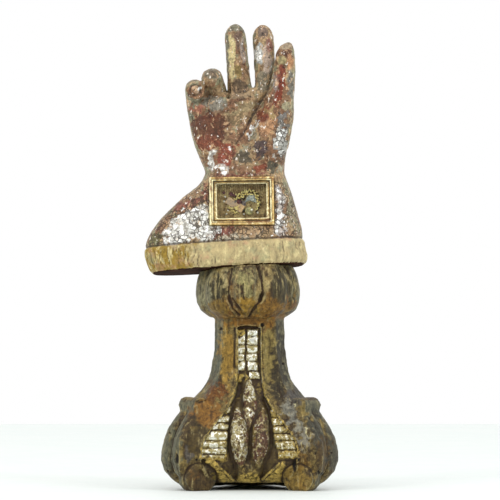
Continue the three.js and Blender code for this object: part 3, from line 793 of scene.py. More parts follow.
@dataclass(frozen=True)
class StainedWood:
    """Walnut-like wood, dyed, waxed and handled: olive-brown on the flanks, orange where hands wore it, with
    silver leaf and gilding left on the panel and its rim. Dark brown grime and painted shade lie in the
    hollows, painted shade in the knop's grooves and the woodworm holes, painted grey-green sheen at the
    sides and painted pale highlights on the ridges and rubbed edges."""

    brown: str = "#3d2e18"
    olive: str = "#746336"
    # Grey-green of the painted sheen on the sides, mixed with grain clouds
    grey_green_sheen: str = "#605f4b"
    orange: str = "#7a4b17"
    # Dark brown of the grain's dark fibres, and of the grime and painted shade in the hollows
    hollow: str = "#271707"
    groove_shade_red: str = "#32170c"
    # Pale tan for the grain's streaks and for painted highlights on the ridges
    streak_and_highlight: str = "#a39364"
    gold: str = "#a48c48"
    # Pale gold of the painted highlights
    pale_gold: str = "#d8cf9c"
    silver: str = "#f2f1e4"
    tarnish: str = "#9c8f60"
    plum: str = "#4b2f25"
    black: str = "#0c0705"

    def bare(self, g: Ground, mid: Socket, fine: Socket, fibre: Socket) -> Coats:
        """Colour of the bare stained wood.

        Args:
            g: The material.
            mid: Clouds about 6 mm wide.
            fine: Clouds about 2 mm wide.
            fibre: Fine clouds drawn out along the grain.

        Returns:
            The coats.
        """
        broad = g.grain(30, 4, 0.55, seed=1.0, stretch_z=1.5)
        bare = Coats(g, self.brown).coat(self.olive, g.weigh(broad, (fine, 0.4)), 0.58, 0.8)
        # The grey value adds painted grey-green sheen where the surface turns sideways, and grey on the
        # knop's top and the back
        bare.coat(self.grey_green_sheen, g.weigh("grey", (mid, 0.6)), 0.5, 1.1, 0.85)
        bare.coat(self.orange, g.weigh("warm", (mid, 1.2), (fibre, 0.6)), 1.1, 1.75, 0.8)
        bare.coat(self.brown, mid, 0.46, 0.34, 0.85)
        bare.stain_and_light(g.weigh((mid, 0.4), (fine, 0.6)), 1.0)
        bare.coat(self.streak_and_highlight, g.weigh(fibre, ("streaks", 0.09)), 0.56, 0.72, 0.65)
        return bare.coat(self.hollow, fibre, 0.46, 0.36, 0.6).speckle(fine, 0.52, 1.5)

    def make(self) -> bpy.types.Material:
        """Builds the material.

        Returns:
            The finish of the foot.
        """
        g = Ground("waxed_dark_wood_with_worn_leaf")
        mid = g.grain(12, 5, 0.7, seed=3.0, warp=0.5)
        fine = g.grain(4.4, 4, 0.72, seed=9.0, warp=0.5)
        specks = g.grain(3.4, 3, 0.72, seed=12.0, warp=0.3)
        fibre = g.grain(3.4, 4, 0.65, stretch_z=7.0, seed=6.0)
        gilt = g.where(g.weigh(("gilt", 0.3), fine), 0.66, 0.8)
        plum = g.where(g.weigh(("plum", 0.4), mid), 0.7, 0.86, 0.9)
        leaf = g.where(g.weigh(("leaf", 0.36), (specks, 0.6), (fine, 0.4)), 0.68, 0.74)
        bright = g.where(g.weigh(fine, ("leaf", 0.2)), 0.62, 0.76)
        coats = self.bare(g, mid, fine, fibre)
        # Painted highlights on the ridges, where the edge value is high
        coats.coat(self.streak_and_highlight, g.weigh("edge", (fine, 1.4)), 1.1, 1.7, 0.6)
        coats.cover(Coats(g, self.gold).speckle(specks, 0.45, 1.7).colour, gilt)
        coats.cover(Coats(g, self.plum).speckle(specks, 0.4, 2.2).colour, plum)
        coats.cover(Coats(g, self.tarnish).cover(self.silver, bright).colour, leaf)
        # Painted pale highlights at the listed glints
        coats.coat(self.pale_gold, g.weigh("glint", (fine, 0.8)), 0.8, 1.2)
        # Grime and painted shade darken the hollows and the sunk floor of the panels
        coats.coat(self.hollow, g.weigh("hollow", (fine, 0.5)), 0.45, 1.1, 0.9)
        # Dark red-brown painted shade at the bottoms of the knop's grooves
        coats.coat(self.groove_shade_red, g.weigh("deep", (fine, 1.5)), 1.15, 1.6, 0.9)
        # Painted black shade inside the woodworm holes and splits
        coats.cover(self.black, "hole")
        metal = g.weigh((g.product_of(leaf, bright), 0.85), (gilt, 0.4))
        shine = g.product_of(metal, g.weigh(1.0, ("hollow", -1.0)), g.weigh(1.0, ("deep", -1.0)))
        rough = g.weigh(0.5, (shine, -0.24), (fine, 0.16))
        height = g.weigh((fibre, 0.5), (fine, 0.7), (specks, 0.3))
        g.set({"Specular IOR Level": 0.25, "Coat Weight": 0.05, "Coat Roughness": 0.3})
        return g.finish(coats.colour, rough, shine, height, 0.7)


@dataclass(frozen=True)
class Gilding:
    """Gold leaf on a moulded wooden frame, toned and rubbed. It shines softly, is dark with grime and painted
    shade in its grooves, under its top bar and where it is let in, is paler with painted highlights on its
    bars and left edge, and the red-brown bole shows where it is rubbed."""

    gold: str = "#cbab6c"
    # Pale gold for flecks by chance and for painted highlights on the lit bars
    pale: str = "#f0e6b8"
    bole: str = "#8a5a3c"
    dirt_and_shade: str = "#3d2a14"

    def make(self) -> bpy.types.Material:
        """Builds the material.

        Returns:
            The finish of the frame.
        """
        g = Ground("rubbed_gold_leaf_on_wood")
        fine = g.grain(3.0, 4, 0.7, seed=2.0)
        mottle = g.grain(8, 5, 0.7, seed=4.0, warp=0.5)
        # Pale flecks, more of them as painted highlights where the lit value is high
        coats = Coats(g, self.gold).coat(self.pale, g.weigh(fine, ("lit", 0.25)), 0.5, 0.72)
        coats.coat(self.bole, g.weigh(mottle, ("edge", 0.05), ("outer", 0.16)), 0.6, 0.7, 0.8)
        # Grime and painted shade in the grooves, under the top bar and where the frame is let in
        coats.speckle(fine, 0.75, 1.25).cover(self.dirt_and_shade, g.weigh(("hollow", 0.9)))
        shine = g.weigh(0.7, ("hollow", -0.63))
        return g.finish(coats.colour, g.weigh(0.36, (fine, 0.15)), shine, g.weigh(fine, mottle), 0.25)


@dataclass(frozen=True)
class Mottled:
    """Plain matt or waxy stuff of two or three colours, such as old cloth, paper, stone or resin."""

    name: str
    base: str
    other: str
    spots: str
    size_mm: float
    roughness: float
    relief_mm: float = 0.2
    coat: float = 0.0
    # Colour of the painted shade where the mesh carries a hollow value
    hollow: str = "#150f09"

    def make(self) -> bpy.types.Material:
        """Builds the material.

        Returns:
            The finish.
        """
        g = Ground(self.name)
        clouds = g.grain(self.size_mm, 4, 0.65, seed=3.0)
        fine = g.grain(self.size_mm / 3, 4, 0.7, seed=7.0)
        coats = Coats(g, self.base).coat(self.other, clouds, 0.4, 0.6).coat(self.spots, fine, 0.56, 0.64)
        # Painted shade where the mesh carries a hollow value
        coats.cover(self.hollow, g.weigh(("hollow", 0.9)))
        g.set({"Coat Weight": self.coat})
        return g.finish(coats.colour, self.roughness, 0.0, fine, self.relief_mm)


@dataclass(frozen=True)
class GiltMetal:
    """Gilt metal thread: bright gold, a little dirty."""

    gold: str = "#f6e9a0"
    dark: str = "#a58838"

    def make(self) -> bpy.types.Material:
        """Builds the material.

        Returns:
            The finish of the wires.
        """
        g = Ground("gilt_metal_thread")
        fine = g.grain(1.5, 3, 0.6)
        colour = Coats(g, self.gold).coat(self.dark, fine, 0.4, 0.65).colour
        return g.finish(colour, g.weigh(0.3, (fine, 0.15)), 0.6, fine, 0.05)


@dataclass(frozen=True)
class PaneGlass:
    """Old thin window glass: clear, faintly green, with a slightly uneven face."""

    tint: str = "#f4f8f4"
    roughness: float = 0.04
    alpha: float = 0.3

    def make(self) -> bpy.types.Material:
        """Builds the material.

        Returns:
            The finish of the pane.
        """
        g = Ground("old_clear_glass")
        g.set({"Transmission Weight": 1.0, "IOR": 1.5, "Alpha": self.alpha})
        return g.finish(self.tint, self.roughness, 0.0, g.grain(14, 1, 0.4), 0.15)


def groove(distance: np.ndarray, depth: float, half_width: float) -> np.ndarray:
    """Depth of a rounded groove, as a move outwards, at points so far from its middle."""
    return -depth * fade(distance, 0, half_width)


@dataclass(frozen=True)
class Cut:
    """Groove along a path on the front, as [across, up] in millimetres. A depth below nought is a ridge."""

    path: tuple
    depth: float
    half_width: float

    def on(self, points: np.ndarray, wobble: np.ndarray) -> np.ndarray:
        """How far the cut moves each point, where the points stray from its clean line."""
        return groove(near_path(points[:, [0, 2]], self.path) + wobble, self.depth, self.half_width)


@dataclass
class Seat:
    """Slanting joint between the sleeve and the knop."""

    height: float = 219.8
    rise_x: float = 0.0625
    rise_y: float = -0.0875

    def above(self, points: np.ndarray) -> np.ndarray:
        """How far each point is above the joint."""
        return points[:, 2] - self.height - self.rise_x * points[:, 0] - self.rise_y * points[:, 1]


@dataclass
class WindowPlace:
    """Tilted place of the window: its own axes run across, inward and up from the middle of its front."""

    centre: tuple = (-7.9, -37.4, 287.0)
    lean: float = -6.5
    roll: float = -0.8
    width: float = 64.4
    height: float = 48.2
    bed_front: float = 12.0

    def matrix(self) -> Matrix:
        """Turn of the window in the maker's frame."""
        lean, roll = math.radians(self.lean), math.radians(self.roll)
        return Matrix.Rotation(lean, 3, "X") @ Matrix.Rotation(roll, 3, "Y")

    def local(self, points: np.ndarray) -> np.ndarray:
        """Points of the maker's frame in the window's own axes."""
        return (points - np.array(self.centre)) @ np.array(self.matrix())

    def placed(self, point: Sequence[float]) -> Vector:
        """Point of the window's own axes in metres in the frame."""
        return ORIGIN + (Vector(self.centre) + self.matrix() @ Vector(point)) * MM

    def inward(self, local: np.ndarray) -> np.ndarray:
        """How far in from the window's outer edge points of its own axes lie."""
        return np.minimum(self.width / 2 - np.abs(local[:, 0]), self.height / 2 - np.abs(local[:, 2]))


@dataclass
class HandAndSleeve:
    """The carved hand, its sleeve and the fringe at the foot of the sleeve, in one piece of wood."""

    voxel: float = 1.09
    arm_turns: int = 40
    finger_turns: int = 19
    fringe_turns: int = 7
    band_height: float = 25.0
    strand_pitch: float = 4.3
    strand_depth: float = 0.55
    strand_wander: float = 5.0
    foot_middle: tuple = (-23.5, 0.5)
    foot_half: tuple = (80.0, 43.0)
    finger_roots: float = 392.0
    finger_fullness: float = 0.35
    little_tip: tuple = (-54.2, -25.2, 397.2)
    nail_ring: float = 5.6
    nail_rim: float = 7.6
    nail_reach: float = 12.0
    pocket: tuple = (-12.0, 20.0)
    bare_below: float = 0.9
    seat: Seat = field(default_factory=Seat)
    window: WindowPlace = field(default_factory=WindowPlace)

    CREASES = (
        # Edge of the ball of the thumb, and the swell beside it
        Cut(((25, 424), (22, 408), (19, 396), (11.5, 386), (5, 376.5), (-0.6, 366), (-6, 355), (-13, 345)),
            1.7, 4.0),
        Cut(((22.5, 398), (14, 385), (8, 374), (3, 364), (-2, 354)), -1.0, 3.0),
        # Lines of the palm
        Cut(((-61, 380), (-46, 376), (-30, 374), (-10, 379), (6, 386)), 0.6, 4.4),
        Cut(((-50, 362), (-34, 357), (-18, 360), (-6, 366)), 0.4, 4.0),
        # Wrist, outer side of the thumb, gap between the fingers and top of the sleeve
        Cut(((-17, 341), (-15.6, 333), (-16, 326)), 0.7, 2.6),
        Cut(((33, 334), (37, 348), (42, 366), (44.6, 384)), 0.6, 2.4),
        Cut(((-21.6, 402), (-21.4, 396), (-21.2, 391.5)), 5.0, 3.0),
        Cut(((-8, 312), (10, 316), (26, 322)), 0.8, 3.4),
    )
    MOUNDS = ovals(
        (-30, 386, 9, 6, 0, 1.4), (-47, 380, 9, 6, 0, 1.2), (-8, 390, 9, 6, 0, 1.2),
        (-44, 348, 11, 22, 12, 1.6), (14, 392, 8, 6, 0, 0.8),
    )
    PALM_HOLLOW = Patch(-22, 362, 17, 14, 10, 2.4)
    THUMB_BALL = Patch(33, 346, 11, 26)
    LEAF = ovals(
        (9.4, 433, 3.8, 12), (19.5, 424, 3, 6, 0, 0.7), (31.5, 344, 7.4, 17), (-38, 326, 4.6, 12),
        (-27, 319, 7, 5), (4, 361, 4, 14, -28, 0.9), (-60, 262, 34, 16, 33, 1.2), (-44, 264, 17, 24),
        (29, 277, 7, 34, 5, 0.95), (-30, 386, 5, 4, 0, 0.9), (-8, 322, 9, 9, 0, 0.4),
        (20, 246, 22, 8, 0, 0.45), (40.6, 402, 3, 16, 0, 0.5), (32, 367, 6, 9, 0, 0.6),
        (-68, 251, 30, 9, 25, 0.8), (-5.6, 437, 2.4, 14, 0, 0.6), (-50, 399, 2, 2.4),
        (-22, 334, 8, 10, 0, 0.5), (26, 405, 2, 10, 0, 0.6),
    )
    STAINS_AND_LIGHT = stains_and_light(
        # Middle finger, whose first two patches are painted grey-green sheen along its left edge and over its
        # tip
        ("#6b6a57", -22.6, 432, 2.4, 32, 0, 0.8), ("#747360", -14, 460, 10, 4.5, 0, 0.8),
        ("#d0bf8c", -18.2, 429, 3.8, 23, 0, 1.1), ("#7e6a3b", -11.4, 416, 4.2, 8),
        ("#654f44", -12, 447, 4, 12, 0, 0.7), ("#95887f", -6, 437, 3, 15, 0, 0.8),
        ("#534231", -10, 401, 10, 8, 0, 0.8), ("#8e7a5f", -10, 391, 12, 5, 0, 0.6),
        # Forefinger
        ("#63534c", 13.5, 455, 6.5, 7, 0, 0.75), ("#a9adad", 9.4, 434, 4.4, 12),
        ("#86574a", 20, 441, 3.6, 7.5), ("#817966", 14.6, 408, 9, 13, 0, 0.75),
        ("#535444", 4.4, 430, 1.6, 30, 0, 0.7),
        # Thumb and its ball
        ("#9a8972", 37, 442, 8, 5, 0, 0.9), ("#512f21", 36, 434.6, 5.4, 3.6),
        ("#968a60", 31.6, 427.5, 5.2, 5.4, 0, 1.1), ("#b07e56", 39.4, 425, 2.8, 10),
        ("#73230f", 31.5, 411, 5.2, 13.5, 0, 1.1), ("#6f6c62", 40.8, 402, 3.2, 15, 0, 0.9),
        ("#918078", 26, 404, 2.6, 10, 0, 0.8), ("#702813", 27, 389, 5, 11, -25, 1.05),
        ("#6b2b17", 14.6, 373, 5, 12, -38), ("#9c8558", 20.6, 375, 4.4, 6, 0, 1.45),
        ("#b0845f", 16.4, 362, 6, 9.5, -14, 1.45), ("#b08f68", 19.6, 350.6, 3.8, 4, 0, 1.4),
        ("#989174", 35, 380, 4, 4.6), ("#6a6a67", 31, 367, 6.5, 8),
        ("#43373a", 10.4, 340, 8, 9, 0, 0.9), ("#a8a8a4", 31.5, 344, 8, 16),
        ("#b9a596", 17, 428, 5, 16, 0, 0.9), ("#5f4a34", -26, 366, 16, 6, 24, 0.7),
        # Curled fingers
        ("#74715f", -37, 415, 12, 8, 0, 0.8), ("#634837", -37.6, 413, 4, 4, 0, 0.9),
        ("#837f72", -36, 385, 13, 7, 0, 0.85), ("#b8997c", -53.4, 396.6, 3.8, 4, 0, 1.2),
        ("#989277", -57, 404, 8, 4, 20), ("#85826b", -55, 386.4, 7, 4, 0, 0.9),
        ("#9a604c", -53, 379.5, 9, 3.4),
        # Palm and wrist
        ("#542313", -38, 361, 19, 17), ("#91805e", -8, 379, 20, 4.4, 12, 0.85),
        ("#736346", -14, 367, 12, 6, 20, 0.6), ("#6e6f5e", -61, 362, 3.4, 17, 0, 0.8),
        ("#6f2c1a", -41, 345, 13, 8), ("#823d2b", -23.6, 333, 8.6, 12, 0, 1.05),
        ("#b0aaa2", -38, 326, 4.6, 12), ("#c2bcb4", -27, 319, 6, 4.6),
        ("#454034", -6, 329, 9, 8, 0, 0.8), ("#8c8a73", -5, 337, 10, 3, 10, 0.8),
        ("#7b3620", 10.5, 318.6, 6.4, 5), ("#504f40", 22, 321, 5, 6, 0, 0.8),
        ("#a09b85", 32, 318, 4, 7, 0, 0.9), ("#87836d", 4, 352, 4, 8, -30, 0.6),
        # Sleeve
        ("#7b493c", -60, 285, 20, 4.6, 31), ("#dcdad2", -64, 261, 26, 12, 33),
        ("#dcdad2", -48, 264, 10, 20), ("#605b37", -94, 248, 9, 6, 30, 0.8),
        ("#75443b", -30, 256.6, 16, 3.6, 0, 0.9), ("#a08464", 4, 255, 17, 5),
        ("#b3aaa4", 29, 277, 6, 32, 5, 0.75), ("#8b8367", 45, 280, 8, 36, 9, 0.8),
        ("#723c31", -43.4, 290, 1.8, 18, 0, 0.8), ("#b7ad98", -16, 249, 30, 4, 3, 0.7),
        ("#6f6d59", -82, 278, 30, 3, 42, 0.8), ("#734438", -8, 312, 30, 2.4, 0, 0.8),
    )

    def build(self) -> bpy.types.Object:
        """Grows the piece over its CAD solid, carves it and dresses it.

        Returns:
            The finished piece.
        """
        carving = Carving("hand_and_sleeve", "carved_hand_and_sleeve", self.voxel)
        self.soften(carving)
        self.carve(carving)
        self.fringe(carving)
        self.paint(carving)
        dress(carving.piece, SilveredWood().make(), DryWood().make())
        self.bare_underside(carving)
        return settle(carving.piece, "silvered_wood", "hand_and_sleeve")

    def near_window(self, points: np.ndarray) -> np.ndarray:
        """Where a point is at the window's pocket.

        Args:
            points: The points.

        Returns:
            One at the pocket and just round it, nought elsewhere.
        """
        local = self.window.local(points)
        shallow, deep = self.pocket
        return fade(-self.window.inward(local), 0.6, 3.0) * (local[:, 1] > shallow) * (local[:, 1] < deep)

    def soften(self, c: Carving) -> None:
        """Rounds the flat facets off, gently on the fingers and the fringe, not at all at the window.

        Args:
            c: The carving.
        """
        above = self.seat.above(c.points)
        fingers = soft_step(c.points[:, 2], self.finger_roots, self.finger_roots + 10)
        band = fade(above, self.band_height, self.band_height + 3)
        keep = 1 - self.near_window(c.points)
        c.relax(keep * (1 - fingers) * (1 - band), self.arm_turns)
        c.relax(keep * fingers, self.finger_turns)
        c.relax(band * soft_step(above, 0.5, 2.5), self.fringe_turns)
        c.push(self.finger_fullness * fingers)

    def carve(self, c: Carving) -> None:
        """Cuts the creases of the palm and the fingers and gives the wood its uneven face.

        Args:
            c: The carving.
        """
        clear = 1 - self.near_window(c.points)
        out = patches(c.points, self.MOUNDS) - self.PALM_HOLLOW.share(c.points)
        c.push(c.averaged(out * c.front(), 6) * clear)
        c.cut(self.CREASES, 0.7 * c.clouds(7, 1.0), clear)
        # Raised rim and sunk ring of the little finger's nail
        x, y, z = self.little_tip
        reach = np.hypot(c.points[:, 0] - x, c.points[:, 2] - z)
        on_tip = (c.points[:, 1] < y + 8) & (reach < self.nail_reach)
        relief = soft_band(reach, self.nail_rim, 1.3) * 0.9 - soft_band(reach, self.nail_ring, 1.4) * 1.1
        c.push(relief * on_tip)
        uneven = c.layered(((0.55, 13, 2.0), (0.28, 5, 3.0), (0.16, 2.6, 4.0)))
        c.push(uneven * clear * soft_step(self.seat.above(c.points), 0.5, 3))

    def along_fringe(self, points: np.ndarray) -> np.ndarray:
        """Way round the rounded rectangle of the sleeve's foot.

        Args:
            points: The points.

        Returns:
            Each point's way in millimetres.
        """
        angles = np.linspace(-math.pi, math.pi, 721)
        rounded = [np.sign(f(angles)) * np.abs(f(angles)) ** (2 / 3) for f in (np.cos, np.sin)]
        outline = np.stack(rounded, 1) * np.array(self.foot_half)
        turn = np.arctan2(outline[:, 1], outline[:, 0])
        order = np.argsort(turn)
        x, y = self.foot_middle
        here = np.arctan2(points[:, 1] - y, points[:, 0] - x)
        return np.interp(here, turn[order], way_along(outline)[order])

    def fringe(self, c: Carving) -> None:
        """Cuts the fringe into strands that waver and run together.

        Args:
            c: The carving.
        """
        above = self.seat.above(c.points)
        way = self.along_fringe(c.points)
        wander = np.array([noise.noise(Vector((s / 9, h / 11, 3.0))) for s, h in zip(way, above)])
        strand = np.abs(np.sin(math.pi * (way + self.strand_wander * wander) / self.strand_pitch))
        left = fade(c.points[:, 0], -62, -40)
        depth = self.strand_depth * np.clip(0.5 + 1.6 * c.clouds(14, 6.0) + 0.6 * left, 0.05, 1.4)
        on_band = soft_step(above, 1.0, 3.0) * fade(above, self.band_height - 3.5, self.band_height - 1.5)
        c.push((strand ** 0.7 - 0.75) * depth * on_band * (np.abs(c.normals[:, 2]) < 0.65))
        # Line that sets the band off from the sleeve
        line = soft_band(above, self.band_height + 1.2, 1.3) * -0.7
        c.push(line * (np.abs(c.normals[:, 2]) < 0.8))

    def paint(self, c: Carving) -> None:
        """Stores where the finishes lie.

        Args:
            c: The carving.
        """
        p = c.points
        front = c.front()
        stray = c.strayed(tabled(((384, 5.0), (400, 2.2)), p[:, 2]))
        ragged = c.layered(((0.25, 5, 11.0), (0.15, 2.2, 12.0)))
        back_leaf = np.clip(c.clouds(26, 21.0) * 1.6, 0, 0.8) * (1 - front)
        aside = soft_step(np.abs(c.normals[:, 0]), 0.5, 0.85)
        up_band = self.seat.above(p) + 1.2 * c.clouds(6, 9.0)
        across_band = p[:, 0] + 9 * c.clouds(14, 5.0) + 7 * c.clouds(5, 8.0)
        crackled = np.maximum(fade(p[:, 2], 300, 318), self.THUMB_BALL.share(p))
        c.stain_and_light(stray, self.STAINS_AND_LIGHT, front)
        c.paint(leaf=np.maximum(patches(stray, self.LEAF) * front, back_leaf) + ragged * 0.5,
                red=np.clip(c.clouds(30, 22.0), 0, 0.7) * (1 - front) + ragged,
                # Painted grey-green sheen where the surface turns sideways or away, with ragged edges
                olive=np.maximum(0.45 * (1 - front), 0.5 * aside) + ragged,
                edge=-c.hollows(3, 0.2),
                crackle=np.maximum(crackled, 0.25),
                band=fade(up_band, self.band_height - 0.6, self.band_height + 1.0),
                band_gold=1 - soft_step(across_band, -76, -44) * 0.9,
                # Grime and painted shade in the hollows and creases
                hollow=np.maximum(c.hollows(4, 0.3), c.hollows(16, 1.3) * 0.7))

    def bare_underside(self, c: Carving) -> None:
        """Gives the faces of the underside their own, matt finish.

        Args:
            c: The carving, dressed.
        """
        mesh = c.piece.data
        corners = np.zeros(len(mesh.loops), np.int32)
        mesh.loops.foreach_get("vertex_index", corners)
        starts = np.zeros(len(mesh.polygons), np.int32)
        mesh.polygons.foreach_get("loop_start", starts)
        below = self.seat.above(c.points)[corners[starts]] < self.bare_below
        mesh.polygons.foreach_set("material_index", below.astype(np.int32))


class Side(Enum):
    """Left or right half of the front panel, as the sign of its distance across."""

    LEFT = -1
    RIGHT = 1


@dataclass(frozen=True)
class Ribs:
    """Bank of carved ribs beside the petals of the front panel, with the heights of its joints."""

    side: Side
    joints: tuple
    inner: tuple
    height: float = 2.9

    def on(self, across: np.ndarray, up: np.ndarray) -> np.ndarray:
        """Height of the ribs above the panel's floor.

        Args:
            across: Distance of each point from the panel's middle.
            up: Its height.

        Returns:
            The ribs' height there.
        """
        joints = np.array(self.joints[::-1], float)
        place = np.interp(up, joints, np.arange(len(joints)))
        crown = self.height * np.abs(np.sin(math.pi * place)) ** 0.5
        inner = tabled(self.inner, up)
        beside = soft_step(across * self.side.value, inner - 1.2, inner + 1.2)
        return crown * beside * (up > joints[0]) * (up < joints[-1])


@dataclass(frozen=True)
class Petal:
    """Pointed petal of the front panel: tip and foot as [across, up], half width and swell."""

    tip: tuple
    foot: tuple
    half_width: float
    swell: float

    def side_share(self, across: np.ndarray, up: np.ndarray) -> tuple[np.ndarray, np.ndarray]:
        """Place of each point on the petal.

        Args:
            across: Distance of each point from the panel's middle.
            up: Its height.

        Returns:
            How far it lies from the petal's middle line, one at the edge, and how full the petal is there.
        """
        t = np.clip((self.tip[1] - up) / (self.tip[1] - self.foot[1]), 0, 1)
        full = np.sin(math.pi * np.clip(t * 0.94 + 0.03, 0, 1)) ** 0.8
        middle = self.tip[0] + (self.foot[0] - self.tip[0]) * t
        share = (across - middle) / (self.half_width * full + 0.01)
        return np.where((up < self.tip[1]) & (up > self.foot[1]), share, FAR), full

    def on(self, across: np.ndarray, up: np.ndarray) -> np.ndarray:
        """Height of the petal above the panel's floor."""
        share, full = self.side_share(across, up)
        return self.swell * full * np.clip(1 - np.abs(share) ** 1.35, 0, 1)


@dataclass
class Stand:
    """The three-sided scroll foot with its knop."""

    voxel: float = 1.3
    body_turns: int = 11
    panel_turns: int = 2
    knop_turns: int = 9
    underside: float = 7.6
    knop_bottom: float = 171.5
    panel_top: float = 161.0
    panel_depth: float = 3.4
    ground_half: float = 64.0
    ground_slope: float = 1.3
    ground_height: float = 14.0
    sunk_depth: float = 3.0
    hole_depth: float = 1.6
    side_panel_leaf: float = 0.35
    seat: Seat = field(default_factory=Seat)

    # [height, millimetres] tables: half width of a face, width of the console at its edge, how far the foot
    # tucks in at the ground, and half width of a sunk panel
    HALF_WIDTH = ((0, 58), (8, 72), (17, 82.3), (28, 87.2), (38, 86.9), (49, 84.5), (63, 78.3), (76, 68.6),
                  (84, 61.9), (91, 56), (97, 50.3), (104, 44.6), (114, 39.8), (130, 37), (148, 35.3),
                  (176, 35))
    CONSOLE = ((0, 38), (8, 39), (17, 41), (28, 42), (38, 42), (49, 41), (63, 38), (76, 34.5), (84, 31),
               (91, 28.5), (97, 26), (104, 23), (114, 21), (130, 19.5), (148, 19), (176, 19))
    TUCK = ((0, 7), (8, 6), (14, 4), (21, 1.6), (30, 0), (176, 0))
    PANEL = ((0, 33), (12, 39), (22, 44), (34, 47), (42, 46.8), (49, 45.3), (58, 40), (69, 31.5), (80, 22.5),
             (93, 15.2), (103, 12.8), (118, 11.2), (161, 11))
    BANKS = (
        Ribs(Side.LEFT, (84, 75, 67.1, 59.8, 49.5, 42.6, 36.3, 30),
             ((26, 25), (50, 22), (80, 18.5), (95, 14))),
        Ribs(Side.RIGHT, (80, 72, 64.4, 56.7, 49.7, 40.5, 31),
             ((26, 30), (50, 25), (80, 19.5), (95, 14))),
    )
    UPPER_JOINTS = (109.5, 117.9, 127.2, 135.2, 143.4, 152.0, 159.6)
    PETALS = (
        Petal((-0.6, 111), (0.4, 60), 7.2, 5.0), Petal((-12.2, 82), (-8.4, 22), 9.8, 8.4),
        Petal((13.4, 82), (8.4, 22), 9.2, 8.2), Petal((-2.0, 27), (-1.2, -16), 14.0, 5.4),
    )
    # Ridges and a scroll round the petals, as path, height, half width and power of the bell
    RIDGES = (
        (((-36.6, 30), (-15.5, 9.7)), 3.8, 1.4, 2),
        (((29, 27), (13, 11)), 3.8, 1.4, 2),
        (((-40, 28), (-34, 24), (-26, 12), (-22, 9)), 2.8, 4.6, 4),
        (((31, 24), (24, 14), (18, 9), (30, 12)), 2.8, 4.6, 4),
        (((-9.8, 108), (-8.6, 112.6), (-5.4, 113.6), (-2.6, 111.4)), 3.0, 1.9, 2),
    )
    # Shadowy hollows round the petals, as [across, up] paths
    SUNK = (
        ((-13, 92), (-19.6, 76), (-20.4, 56), (-20.2, 40), (-15, 26), (-14, 14)),
        ((1, 82), (1.4, 60), (0, 42), (-1.6, 30)),
        ((15, 90), (20.4, 74), (21.6, 56), (21.4, 42), (15.6, 27), (13, 15)),
        ((-9, 104), (-10, 92), (-6, 84)),
    )
    # Round ends of the rolls on the front: middle across and up, half width and half height
    ROLLS = ((-48.5, 12.2, 15.4, 14.6), (47.5, 11.6, 15.0, 14.2))
    KNOP_CUTS = (
        Cut(((7.5, 224), (11, 212), (12.9, 198), (10.2, 189)), 3.2, 3.2),
        Cut(((12, 194), (10.2, 188), (4, 179.5), (-0.8, 171)), 1.8, 2.0),
        Cut(((-21, 196), (-20.1, 190), (-16.6, 180), (-10.5, 173)), 2.2, 2.2),
        Cut(((-17, 190), (-14.5, 186), (-9, 178), (-5, 173)), 1.4, 1.6),
        Cut(((-17.5, 221), (-20, 206), (-21, 196)), 1.1, 1.5),
        Cut(((35.3, 221.6), (43, 210), (45, 200), (44, 190)), 1.8, 2.6),
        Cut(((-33.3, 212), (-34, 200), (-32.5, 188)), 1.8, 6.5),
        Cut(((24, 218), (25.5, 200), (24, 186)), 0.9, 2.8),
        Cut(((-6.5, 204), (-6.8, 196), (-5.6, 190)), 1.2, 2.2),
        Cut(((-2, 220), (-0.6, 206), (-1, 192)), 0.8, 2.4),
    )
    # How strongly dark red painted shade fills the bottoms of the first of those cuts
    KNOP_GROOVE_SHADES = (1.0, 0.8, 0.8, 0.6, 0.5, 0.5)
    STEM_CUTS = (
        Cut(((-10.8, 160.2), (-2, 161.2), (6.6, 160.4)), 1.8, 2.4),
        Cut(((12.8, 165), (12.8, 144), (13.4, 120)), 1.4, 1.6),
        Cut(((-15, 160), (-15, 151), (-15.4, 122)), 1.0, 1.5),
        Cut(((-69.6, 63.7), (-76.6, 49.7), (-78, 32.8), (-75.9, 18.8)), 1.8, 3.6),
        Cut(((60, 72), (68, 60), (74, 49), (76.4, 33), (74.6, 19)), 1.8, 3.6),
        Cut(((-68.6, 52), (-69, 30), (-67.5, 8.3)), -0.8, 1.8),
        Cut(((-57.6, 85.5), (-46.4, 87.9), (-38.7, 92.5), (-32.4, 103)), 0.9, 2.4),
        Cut(((41.5, 86.9), (32.3, 92.5), (29.5, 98.8)), 0.9, 2.4),
        Cut(((-46, 30.5), (-46.5, 23)), 2.0, 2.2),
    )
